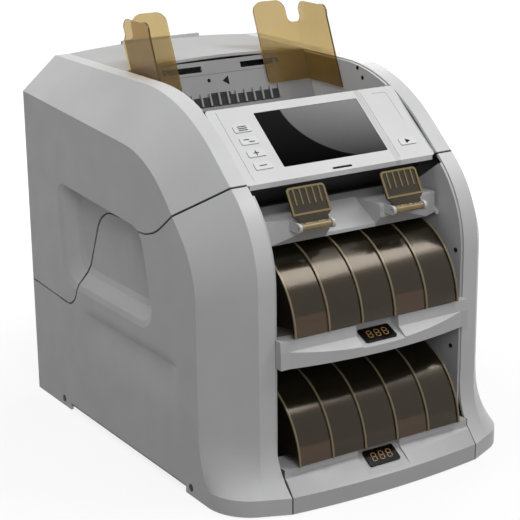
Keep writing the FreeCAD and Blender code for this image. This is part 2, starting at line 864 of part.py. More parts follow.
def build_base():
    """Pressed base plate with side flanges, four rubber feet and the screws that hold the housings."""
    half = "housing_width / 2 - shell_wall - panel_clearance"
    rear = "rear_face - shell_wall - panel_clearance"
    body = new_body("base_plate")
    pad(body, "XY_Plane", "base_level", "base_level + sheet_metal",
        rectangle(f"-({half})", half, "base_front", rear))
    for low, high in ((f"-({half})", f"-({half}) + sheet_metal"), (f"{half} - sheet_metal", half)):
        pad(body, "YZ_Plane", low, high, rectangle("base_front", rear, "base_level", "base_flange"))
    for y in ("front_screw_y", "rear_screw_y"):
        pocket(body, "YZ_Plane", f"-({half}) - 1", f"{half} + 1",
               ("circle", y, "screw_height", "screw_radius + running_clearance"))
    finished(body, "base_plate")
    feet = []
    screws = []
    for side in ("-", ""):
        for y in ("foot_pad_front", "foot_pad_rear"):
            foot = new_body("rubber_foot")
            pad(foot, "XY_Plane", 0, "base_level",
                ("circle", f"{side}foot_pad_across / 2", y, "foot_pad_radius"))
            feet.append(foot)
        for y in ("front_screw_y", "rear_screw_y"):
            screw = new_body("housing_screw")
            head = ["housing_width / 2 - screw_head_height", "housing_width / 2"]
            shank = ["housing_width / 2 - screw_length", "housing_width / 2 - screw_head_height"]
            for (low, high), radius in ((head, "screw_head_radius"), (shank, "screw_radius")):
                ends = (f"-({high})", f"-({low})") if side else (low, high)
                pad(screw, "YZ_Plane", *ends, ("circle", y, "screw_height", radius))
            screws.append(screw)
    group("rubber_feet", feet)
    group("housing_screws", screws)


def build_frames():
    """Steel side plates that carry the shafts: one pair in each unit."""
    low = f"-({HALF_PANEL})"
    high = f"-({FRAME_IN})"
    body = new_body("left_side_frame")
    front = "front_face + frame_setback"
    nose = "nose_radius - frame_setback"
    floor = "base_level + sheet_metal"
    near = "path_margin"
    pad(body, "YZ_Plane", low, high, [
        (front, floor), ("frame_rear", floor), ("frame_rear", "split_low_z - frame_margin"),
        (f"split_low_y - {near}", "split_low_z - frame_margin"),
        (f"split_high_y - {near}", "split_high_z - frame_margin"),
        (f"split_mid_y - {near}", "split_mid_z - frame_margin - sheet_metal"),
        (f"{NOSE_Y} - ({nose}) * sin(crown_turn)", f"{NOSE_Z} + ({nose}) * cos(crown_turn) - frame_margin"),
        (f"{NOSE_Y} - ({nose}) * sin(frame_nose_turn)", f"{NOSE_Z} + ({nose}) * cos(frame_nose_turn)"),
        (front, NOSE_Z, nose)])
    pocket(body, "YZ_Plane", low, high, bore(DRUM, "drum_shaft_radius"), bore(TRANSPORT, "shaft_radius"),
           bore(UPPER_WHEEL, "shaft_radius"), bore(LOWER_WHEEL, "shaft_radius"),
           bore(UPPER_GATE, "gate_shaft_radius"), bore(LOWER_GATE, "gate_shaft_radius"),
           bore(UPPER_COVER, "cover_pin_radius"), bore(LOWER_COVER, "cover_pin_radius"))
    pocket(body, "YZ_Plane", low, high,
           ("circle", "motor_y", "motor_z", "motor_shaft_radius + sliding_clearance"))
    mirror(finished(body, "left_side_frame"), "right_side_frame")
    upper = new_body("left_upper_frame")
    path_foot = beside_path("upper_frame_run", near)
    path_head = beside_path(f"{RUN} + 3 * frame_margin", near)
    pad(upper, "YZ_Plane", low, high, [
        ("hopper_front + hopper_wall", "upper_frame_bottom"), path_head, path_foot,
        ("upper_frame_rear", "upper_frame_low"),
        ("upper_frame_rear", "plate_z"), ("cover_front", "upper_frame_top"),
        ("crown_start", "upper_frame_top"),
        ("hopper_front + hopper_wall", "hopper_front_top - sheet_metal")])
    pocket(upper, "YZ_Plane", low, high, bore(PICKUP, "shaft_radius"), bore(FEED, "shaft_radius"),
           bore(RETARD, "shaft_radius"), bore(IDLER, "shaft_radius"))
    mirror(finished(upper, "left_upper_frame"), "right_upper_frame")


def knuckles(body, start):
    """A pair of hinge barrels on a body, with the pin's bore."""
    stop = f"{start} + knuckle_length"
    for low, high in ((start, stop), (f"-({stop})", f"-({start})")):
        pad(body, "YZ_Plane", low, high, ("circle", "hinge_axis_y", "hinge_axis_z", "knuckle_radius"))
    return [(start, stop), (f"-({stop})", f"-({start})")]


def drill_hinge(body):
    pocket(body, "YZ_Plane", f"-({HALF_PANEL})", HALF_PANEL,
           ("circle", "hinge_axis_y", "hinge_axis_z", "hinge_pin_radius + running_clearance"))


LOWER_KNUCKLE = "knuckle_start + knuckle_length + panel_clearance"


def build_rear():
    """Lower rear panel with vents and inlet, rear top cover behind the hopper, and the hinge between them."""
    inner = "rear_face - shell_wall"
    panel = new_body("rear_panel")
    pad(panel, "XZ_Plane", inner, "rear_face", rounded(f"-({HALF_PANEL})", HALF_PANEL, "base_level",
        "hinge_axis_z - hinge_cup_radius + 3 * seam_gap", "panel_corner"))
    web = "hinge_axis_z - hinge_cup_radius - knuckle_radius"
    for low, high in knuckles(panel, LOWER_KNUCKLE):
        pad(panel, "YZ_Plane", low, high, rectangle("hinge_axis_y - hinge_pin_radius * 2", inner, web,
                                                    "hinge_axis_z - hinge_pin_radius"))
    drill_hinge(panel)
    vent = pocket(panel, "XZ_Plane", inner, "rear_face",
                  rounded("vent_first", "vent_first + vent_width", "vent_low", "vent_low + vent_height",
                          "slot_roundness * vent_width"))
    repeat(panel, [vent], "X_Axis", "(vent_count - 1) * vent_pitch", "vent_count")
    pocket(panel, "XZ_Plane", inner, "rear_face",
           rectangle("inlet_x - inlet_width / 2", "inlet_x + inlet_width / 2", "inlet_z - inlet_height / 2",
                     "inlet_z + inlet_height / 2"),
           rectangle("switch_x - switch_width / 2", "switch_x + switch_width / 2",
                     "inlet_z - switch_height / 2", "inlet_z + switch_height / 2"))
    axle = ("rear_face - shell_wall - sheet_metal", "inlet_z")
    lug = "switch_axle_radius + sheet_metal"
    outer = f"switch_width / 2 + {lug}"
    for low, high in ((f"switch_x - ({outer})", "switch_x - switch_width / 2"),
                      ("switch_x + switch_width / 2", f"switch_x + {outer}")):
        pad(panel, "YZ_Plane", low, high,
            rectangle(f"{axle[0]} - ({lug})", inner, f"inlet_z - ({lug})", f"inlet_z + {lug}"))
        pocket(panel, "YZ_Plane", low, high, bore(axle, "switch_axle_radius"))
    finished(panel, "rear_panel")

    cover = new_body("rear_top_cover")
    top = "crown_height"
    bow = f"(({HALF_PANEL})^2 + cover_crown^2) / (2 * cover_crown)"
    pad(cover, "XZ_Plane", "cover_front", "rear_face", [
        (f"-({HALF_PANEL})", f"{top} - shell_wall"), (HALF_PANEL, f"{top} - shell_wall", f"-({bow})"),
        (HALF_PANEL, top), (f"-({HALF_PANEL})", top, bow)])
    pad(cover, "XZ_Plane", inner, "rear_face", rectangle(f"-({HALF_PANEL})", HALF_PANEL,
        "hinge_axis_z - shell_wall", f"{top} - shell_wall / 2"))
    pad(cover, "XZ_Plane", "rear_face - rear_lip_depth", "rear_face", rectangle(
        "-rear_lip_width / 2", "rear_lip_width / 2", top, f"{top} + cover_crown + rear_lip_height / 2"))
    stop = f"{LOWER_KNUCKLE} + knuckle_length + panel_clearance"
    start = f"{LOWER_KNUCKLE} - panel_clearance"
    for low, high in ((start, stop), (f"-({stop})", f"-({start})")):
        pocket(cover, "XZ_Plane", inner, "rear_face", rectangle(
            low, high, "hinge_axis_z - shell_wall", "hinge_axis_z + knuckle_radius + frame_margin"))
    for low, high in knuckles(cover, "knuckle_start"):
        pad(cover, "YZ_Plane", low, high, rectangle(
            "hinge_axis_y - hinge_pin_radius * 2", inner, "hinge_axis_z + hinge_pin_radius",
            "hinge_axis_z + knuckle_radius * 3"))
    drill_hinge(cover)
    finished(cover, "rear_top_cover")

    pins = []
    reach = f"{LOWER_KNUCKLE} + knuckle_length"
    for low, high in (("knuckle_start", reach), (f"-({reach})", "-knuckle_start")):
        pin = new_body("hinge_pin")
        pad(pin, "YZ_Plane", low, high, ("circle", "hinge_axis_y", "hinge_axis_z", "hinge_pin_radius"))
        pins.append(pin)
    group("hinge_pins", pins)

    inlet = new_body("power_inlet")
    fit = "sliding_clearance"
    pad(inlet, "XZ_Plane", "rear_face - inlet_depth", "rear_face", rectangle(
        f"inlet_x - inlet_width / 2 + {fit}", f"inlet_x + inlet_width / 2 - {fit}",
        f"inlet_z - inlet_height / 2 + {fit}", f"inlet_z + inlet_height / 2 - {fit}"))
    pad(inlet, "XZ_Plane", "rear_face - shell_wall - sheet_metal", inner, rectangle(
        "inlet_x - inlet_width / 2 - sheet_metal", "inlet_x + inlet_width / 2 + sheet_metal",
        "inlet_z - inlet_height / 2 - sheet_metal", "inlet_z + inlet_height / 2 + sheet_metal"))
    pocket(inlet, "XZ_Plane", "rear_face - inlet_cavity", "rear_face", rounded(
        "inlet_x - inlet_width / 2 + sheet_metal", "inlet_x + inlet_width / 2 - sheet_metal",
        "inlet_z - inlet_height / 2 + sheet_metal", "inlet_z + inlet_height / 2 - sheet_metal",
        "sheet_metal"))
    for side in (-1, 0, 1):
        pad(inlet, "XZ_Plane", "rear_face - inlet_cavity - sheet_metal", "rear_face - sheet_metal", rectangle(
            f"inlet_x + {side} * inlet_width / 4 - 0.5 * sheet_metal",
            f"inlet_x + {side} * inlet_width / 4 + 0.5 * sheet_metal",
            "inlet_z - sheet_metal", "inlet_z + sheet_metal"))
    finished(inlet, "power_inlet")

    switch = new_body("power_switch")
    centre = axle[0]
    pad(switch, "YZ_Plane", f"switch_x - ({outer})", f"switch_x + {outer}",
        ("circle", *axle, "switch_axle_radius"))
    half = f"(switch_height / 2 - {fit} - switch_end_gap)"
    pad(switch, "YZ_Plane", f"switch_x - switch_width / 2 + {fit}", f"switch_x + switch_width / 2 - {fit}", [
        (f"{centre} - switch_depth / 2", f"inlet_z - {half} + sheet_metal"),
        ("rear_face - switch_proud", f"inlet_z - {half}"), ("rear_face - 2 * switch_proud", "inlet_z"),
        ("rear_face + switch_proud", f"inlet_z + {half}"),
        (f"{centre} - switch_depth / 2", f"inlet_z + {half} - sheet_metal")])
    finished(switch, "power_switch")


BUTTONS = {}
for number in range(4):
    BUTTONS[f"menu_button_{number + 1}"] = (f"(button_inset - ({HALF_PANEL}))",
                                            f"(button_first + {3 - number} * button_pitch)")
BUTTONS["start_button"] = (f"({HALF_PANEL} - start_button_inset)", "start_button_v")


def build_panel():
    """Sloping control panel with the screen, its buttons and the note sensor slot."""
    panel = new_body("control_panel")
    back = "-panel_thickness"
    fit = "sliding_clearance"
    holes = []
    for x, v in BUTTONS.values():
        holes.append(rounded(f"{x} - button_width / 2 - {fit}", f"{x} + button_width / 2 + {fit}",
                             f"{v} - button_height / 2 - {fit}", f"{v} + button_height / 2 + {fit}",
                             "panel_corner / 2"))
    slot = rounded("-sensor_slot_width / 2", "sensor_slot_width / 2",
                   "sensor_slot_v - sensor_slot_height / 2", "sensor_slot_v + sensor_slot_height / 2",
                   "slot_roundness * sensor_slot_height")
    window = rounded(f"-screen_width / 2 - {fit}", f"screen_width / 2 + {fit}", f"screen_bottom - {fit}",
                     f"screen_bottom + screen_height + {fit}", "screen_corner")
    pad(panel, "XY_Plane", back, 0,
        rounded(f"-({HALF_PANEL})", HALF_PANEL, 0, "panel_length", "panel_corner"))
    for hole in [window, slot] + holes:
        pocket(panel, "XY_Plane", back, 0, hole)
    low_v = "-panel_lip * sin(panel_tilt)"
    low_w = "-panel_lip * cos(panel_tilt)"
    pad(panel, "YZ_Plane", f"panel_corner - ({HALF_PANEL})", f"{HALF_PANEL} - panel_corner", [
        (0, 0), (low_v, low_w),
        (f"{low_v} + panel_lip_sheet * cos(panel_tilt)", f"{low_w} - panel_lip_sheet * sin(panel_tilt)"),
        ("panel_lip_sheet", back), ("panel_lip_sheet", 0)])
    left = f"left_groove_inset - ({HALF_PANEL})"
    right = "screen_width / 2 + right_groove_margin"
    for x in (left, right):
        pocket(panel, "XY_Plane", "-panel_groove_depth", 0,
               rectangle(x, f"{x} + panel_groove", "panel_corner", "panel_length - panel_corner"))
    edge = f"{HALF_PANEL} - dish_inset"
    pocket(panel, "XY_Plane", "-dish_depth", 0,
           rounded(f"{edge} - dish_width", edge, "dish_v", "dish_v + dish_height", "panel_corner"))
    place(panel, "panel_tilt", 0, "panel_bottom_y", "panel_bottom_z")
    finished(panel, "control_panel")

    screen = new_body("touch_screen")
    pad(screen, "XY_Plane", back, "-screen_sink", rounded(
        "-screen_width / 2", "screen_width / 2", "screen_bottom", "screen_bottom + screen_height",
        f"screen_corner - {fit}"))
    pad(screen, "XY_Plane", "-panel_thickness - screen_module_depth", back, rectangle(
        "-screen_width / 2 - screen_module_margin", "screen_width / 2 + screen_module_margin",
        "screen_bottom - screen_module_margin", "screen_bottom + screen_height + screen_module_margin"))
    place(screen, "panel_tilt", 0, "panel_bottom_y", "panel_bottom_z")
    finished(screen, "touch_screen")

    for label, (x, v) in BUTTONS.items():
        button = new_body(label)
        half_width = "button_width / 2"
        half_height = "button_height / 2"
        pad(button, "XY_Plane", back, "button_proud", rounded(
            f"{x} - {half_width}", f"{x} + {half_width}", f"{v} - {half_height}", f"{v} + {half_height}",
            "panel_corner / 2 - sliding_clearance"))
        rim = f"-panel_thickness - {fit} / 2"
        pad(button, "XY_Plane", f"{rim} - button_flange", rim, rectangle(
            f"{x} - {half_width} - button_flange", f"{x} + {half_width} + button_flange",
            f"{v} - {half_height} - button_flange", f"{v} + {half_height} + button_flange"))
        place(button, "panel_tilt", 0, "panel_bottom_y", "panel_bottom_z")
        finished(button, label)


def on_plate(item):
    return place(item, "90 - hopper_lean", 0, "plate_y", "plate_z")


def build_hopper():
    """Hopper: leaning back plate, floor, and the two note guides joined by racks and a pinion."""
    plate = new_body("hopper_back_plate")
    window = "(roller_width / 2 + sheet_metal)"
    tall = "pickup_radius - frame_margin / 2"
    holes = [rectangle(f"{x} * roller_pitch - {window}", f"{x} * roller_pitch + {window}",
                       f"pickup_v - ({tall})", f"pickup_v + {tall}") for x in (-1, 0, 1)]
    outer = "guide_tab_x + guide_tab_width / 2 + panel_clearance"
    inner = "guide_tab_x - guide_tab_width / 2 - guide_travel - panel_clearance"
    for low, high in ((f"-({outer})", f"-({inner})"), (inner, outer)):
        holes.append(rectangle(low, high, "pinion_v - guide_slot_height / 2",
                               "pinion_v + guide_slot_height / 2"))
    pad(plate, "XY_Plane", "-plate_thickness", 0,
        rectangle(f"-({INSIDE})", INSIDE, "plate_bottom", "plate_top"))
    for hole in holes:
        pocket(plate, "XY_Plane", "-plate_thickness", 0, hole)
    pad(plate, "XY_Plane", "-plate_thickness - rack_depth - 3 * panel_clearance", "-plate_thickness",
        ("circle", 0, "pinion_v", "pinion_pin_radius"))
    first = "-(comb_ribs - 1) * comb_pitch / 2"
    rib = pad(plate, "XY_Plane", 0, "comb_depth", rectangle(
        f"{first} - comb_rib / 2", f"{first} + comb_rib / 2", "comb_top - comb_height", "comb_top"))
    repeat(plate, [rib], "X_Axis", "(comb_ribs - 1) * comb_pitch", "comb_ribs")
    finished(on_plate(plate), "hopper_back_plate")

    floor = new_body("hopper_floor")
    pad(floor, "YZ_Plane", f"-({INSIDE})", INSIDE, [
        ("hopper_front", "hopper_floor_z - hopper_wall"), ("hopper_throat", "hopper_floor_z - hopper_wall"),
        ("hopper_throat", "hopper_floor_z"), ("hopper_front + hopper_wall", "hopper_floor_z"),
        ("hopper_front + hopper_wall", "hopper_front_top"), ("hopper_front", "hopper_front_top")])
    finished(floor, "hopper_floor")

    for label, side, rack_side in (("left_note_guide", -1, 1), ("right_note_guide", 1, -1)):
        finished(on_plate(note_guide(label, side, rack_side)), label)

    pinion = new_body("guide_pinion")
    rack_back = "-plate_thickness - panel_clearance - rack_depth"
    rack_front = "-plate_thickness - panel_clearance"
    root = "pinion_pitch_radius - pinion_root_depth"
    pad(pinion, "XY_Plane", rack_back, rack_front, ("circle", 0, 0, root))
    half_root = "pinion_tooth_width / 2"
    half_tip = "pinion_tip_width / 2"
    tip = "pinion_pitch_radius + pinion_tooth_height"
    tooth = pad(pinion, "XY_Plane", rack_back, rack_front, [
        (f"-{half_root}", f"{root} - pinion_tooth_height"), (half_root, f"{root} - pinion_tooth_height"),
        (half_root, root), (half_tip, tip), (f"-{half_tip}", tip), (f"-{half_root}", root)])
    turn_about(pinion, [tooth], "Z_Axis", "pinion_teeth")
    pocket(pinion, "XY_Plane", rack_back, rack_front,
           ("circle", 0, 0, "pinion_pin_radius + running_clearance"))
    place(pinion, "90 - hopper_lean", 0, "plate_y + pinion_v * sin(hopper_lean)",
          "plate_z + pinion_v * cos(hopper_lean)")
    finished(pinion, "guide_pinion")


def note_guide(label, side, rack_side):
    """One amber guide: back wall, side wing, and a toothed rack behind the back plate."""
    guide = new_body(label)
    front = "sliding_clearance + guide_sheet"
    bend = f"{-side} * guide_corner"
    notch = f"{side} * ({INSIDE} - guide_notch_width)"
    outer = f"{side} * ({INSIDE})"
    inner = f"{side} * guide_inner"
    foot = f"{-side} * guide_foot"
    pad(guide, "XY_Plane", "sliding_clearance", front, [
        (outer, 0), (f"{inner} - ({foot})", 0), (inner, "guide_foot", foot),
        (inner, "guide_top - guide_corner"),
        (f"{inner} + {side} * guide_corner", "guide_top", bend),
        (f"{notch} - {side} * guide_corner", "guide_top"), (notch, "guide_top - guide_corner", bend),
        (notch, "guide_notch_bottom + guide_foot"),
        (f"{notch} - ({foot})", "guide_notch_bottom", f"-({foot})"),
        (outer, "guide_notch_bottom")])
    wing = f"{side} * ({INSIDE} - guide_sheet)"
    low, high = (outer, wing) if side < 0 else (wing, outer)
    fall = "guide_wing_drop / guide_wing_depth"
    pad(guide, "YZ_Plane", low, high, [
        (0, "sliding_clearance"), ("guide_notch_bottom", "sliding_clearance"),
        ("guide_notch_bottom", "guide_wing_gap - guide_foot"),
        ("guide_notch_bottom + guide_foot", "guide_wing_gap", "-guide_foot"),
        (f"guide_top - {fall} * guide_wing_gap - guide_wing_corner", "guide_wing_gap"),
        (f"guide_top - {fall} * (guide_wing_gap + guide_wing_corner)", "guide_wing_gap + guide_wing_corner",
         "guide_wing_corner"),
        (f"guide_top - {fall} * (guide_wing_depth - guide_wing_corner)",
         "guide_wing_depth - guide_wing_corner"),
        ("guide_top - guide_wing_drop - guide_wing_corner", "guide_wing_depth", "guide_wing_corner"),
        ("-guide_wing_drop", "guide_wing_depth")])
    tab_low = f"{side} * guide_tab_x - guide_tab_width / 2"
    tab_high = f"{side} * guide_tab_x + guide_tab_width / 2"
    rack_back = "-plate_thickness - panel_clearance - rack_depth"
    rack_front = "-plate_thickness - panel_clearance"
    tab_half = "guide_slot_height / 2 - sliding_clearance"
    pad(guide, "XY_Plane", rack_back, front, rectangle(tab_low, tab_high, f"pinion_v - ({tab_half})",
                                                       f"pinion_v + {tab_half}"))
    root = "pinion_pitch_radius + pinion_root_depth"
    near = f"pinion_v + {rack_side} * ({root})"
    far = f"pinion_v + {rack_side} * ({root} + rack_height)"
    levels = (near, far) if rack_side > 0 else (far, near)
    middle = ("pinion_v", far) if rack_side > 0 else (far, "pinion_v")
    pad(guide, "XY_Plane", rack_back, rack_front, rectangle(tab_low, tab_high, *middle))
    reach = f"{-side} * rack_overlap"
    ends = (tab_low, reach) if side < 0 else (reach, tab_high)
    pad(guide, "XY_Plane", rack_back, rack_front, rectangle(*ends, *levels))
    pitch = "(2 * pi * pinion_pitch_radius / pinion_teeth)"
    tip = f"pinion_v + {rack_side} * (pinion_pitch_radius - pinion_tooth_height)"
    half_root = "pinion_tooth_width / 2"
    half_tip = "pinion_tip_width / 2"
    deep = f"pinion_v + {rack_side} * ({root} + pinion_tooth_height)"
    first = f"{-side} * 1.5 * {pitch}"
    tooth = pad(guide, "XY_Plane", rack_back, rack_front, [
        (f"{first} - {half_root}", deep), (f"{first} - {half_root}", near), (f"{first} - {half_tip}", tip),
        (f"{first} + {half_tip}", tip), (f"{first} + {half_root}", near), (f"{first} + {half_root}", deep)])
    row = repeat(guide, [tooth], "X_Axis", f"(rack_teeth - 1) * {pitch}", "rack_teeth")
    row.Reversed = side < 0
    return guide


def roller(label, centre, radius, shaft, width, pitch, low=f"-({HALF_PANEL})"):
    """Shaft across the machine with three wheels on it."""
    body = new_body(label)
    pad(body, "YZ_Plane", low, HALF_PANEL, ("circle", *centre, shaft))
    for x in (-1, 0, 1):
        pad(body, "YZ_Plane", f"{x} * {pitch} - {width} / 2", f"{x} * {pitch} + {width} / 2",
            ("circle", *centre, radius))
    return body


def build_rollers():
    """Pick-up, feed and retard rollers of the feeder, and the transport's drum and rollers."""
    for label, centre, radius in (("pickup_roller", PICKUP, "pickup_radius"),
                                  ("feed_roller", FEED, "feed_radius"),
                                  ("retard_roller", RETARD, "retard_radius")):
        finished(roller(label, centre, radius, "shaft_radius", "roller_width", "roller_pitch"), label)
    for label, centre, radius in (("transport_roller", TRANSPORT, "transport_radius"),
                                  ("idler_roller", IDLER, "idler_radius")):
        finished(roller(label, centre, radius, "shaft_radius", "drum_width", "drum_pitch"), label)
    drum = roller("transport_drum", DRUM, "drum_radius", "drum_shaft_radius", "drum_width", "drum_pitch",
                  f"{PULLEY} - pulley_width / 2")
    pad(drum, "YZ_Plane", f"{PULLEY} - pulley_width / 2", f"{PULLEY} + pulley_width / 2",
        ("circle", *DRUM, "drum_pulley_radius"))
    finished(drum, "transport_drum")


def guide_sheet(near, far, front, rear, wheels):
    """Bent sheet that follows the split, with windows for the wheels that reach through it."""
    half = value(INSIDE)
    deep = value("housing_width")
    sheet = below_split(near).cut(below_split(far))
    sheet = sheet.common(block(Vector(-half, front, 0), Vector(half, rear, deep)))
    for centre, radius in wheels:
        for x in (-1, 0, 1):
            middle = x * value("drum_pitch")
            reach = value("drum_width / 2 + sheet_metal")
            sheet = sheet.cut(x_rod(middle - reach, middle + reach, *centre, f"{radius} + sheet_metal"))
    return sheet


def build_guides():
    """Lower and upper guide sheets of the note path, with a sensor bar behind each."""
    near = value("path_gap")
    far = value("path_gap + guide_plate")
    lower = guide_sheet(near, far, value("lower_guide_front"), value("split_low_y - drum_run"),
                        [(DRUM, "drum_radius"), (TRANSPORT, "transport_radius")])
    finished(feature("lower_transport_guide", lower), "lower_transport_guide")
    upper = guide_sheet(-far, -near, value("upper_guide_front"), value("split_low_y - path_gap"),
                        [(IDLER, "idler_radius")])
    finished(feature("upper_transport_guide", upper), "upper_transport_guide")
    level = "split_high_z"
    below = f"{level} - frame_margin"
    above = f"{level} + 2 * frame_margin"
    for label, low, high in (("lower_sensor_bar", f"{below} - sensor_height", below),
                             ("upper_sensor_bar", above, f"{above} + sensor_height")):
        bar = new_body(label)
        pad(bar, "YZ_Plane", f"-({INSIDE})", INSIDE, rectangle("sensor_front", "sensor_rear", low, high))
        finished(bar, label)


# Outline of one finger of a stacker wheel: shares of the radius outwards and forwards
FINGER = ((0.40, -0.06), (0.70, 0.0), (0.96, 0.25), (0.94, 0.30), (0.66, 0.10), (0.40, 0.05))


def stacker_wheel(label, centre):
    """Shaft with three hubs of curved fingers that catch the notes."""
    wheel = new_body(label)
    pad(wheel, "YZ_Plane", f"-({HALF_PANEL})", HALF_PANEL, ("circle", 0, 0, "shaft_radius"))
    fingers = []
    for x in (-1, 0, 1):
        low = f"{x} * wheel_pitch - wheel_width / 2"
        high = f"{x} * wheel_pitch + wheel_width / 2"
        pad(wheel, "YZ_Plane", low, high, ("circle", 0, 0, "wheel_hub_radius"))
        fingers.append(pad(wheel, "YZ_Plane", low, high, [
            (f"wheel_radius * {out}", f"wheel_radius * {over}") for out, over in FINGER]))
    turn_about(wheel, fingers, "X_Axis", "wheel_fingers")
    bind(wheel, Placement__Base__y=centre[0], Placement__Base__z=centre[1])
    finished(wheel, label)


def sector(radius, angle):
    """Point of a pocket cover at an angle above the horizontal, seen from its pivot."""
    return f"-({radius}) * cos({angle})", f"({radius}) * sin({angle})"


def band(inner, outer, begin, end):
    """Outline between two arcs about a cover's pivot."""
    return [(*sector(outer, begin),), (*sector(outer, end), f"-({outer})"), (*sector(inner, end),),
            (*sector(inner, begin), f"{inner}")]


def pocket_cover(label, centre, begin):
    """Ribbed amber cover on two side plates that turn on the frame's pivots."""
    cover = new_body(label)
    half = COVER_HALF
    inner = "cover_radius - cover_sheet"
    pad(cover, "YZ_Plane", f"-{half}", half, band(f"({inner})", "cover_radius", begin, "cover_end"))
    ribs = []
    for number in range(int(value("cover_ribs"))):
        low = f"-{half} + {number} * (2 * {COVER_HALF} - cover_rib_width) / (cover_ribs - 1)"
        ribs.append((low, f"{low} + cover_rib_width"))
    for low, high in ribs:
        pad(cover, "YZ_Plane", low, high, band(
            "(cover_radius - cover_sheet / 2)", "(cover_radius + cover_rib_height)",
                                               begin, "cover_end"))
    plate = f"({inner} + cover_sheet / 2)"
    for low, high in ((f"-{half}", f"-{half} + cover_arm"), (f"{half} - cover_arm", half)):
        pad(cover, "YZ_Plane", low, high, ("circle", 0, 0, "cover_pin_radius + cover_arm"))
        pad(cover, "YZ_Plane", low, high, [(0, 0), sector(plate, "arm_begin"),
                                           (*sector(plate, "arm_end"), f"-{plate}")])
    pocket(cover, "YZ_Plane", f"-{half}", half, ("circle", 0, 0, "cover_pin_radius + running_clearance"))
    bind(cover, Placement__Base__y=centre[0], Placement__Base__z=centre[1])
    finished(cover, label)


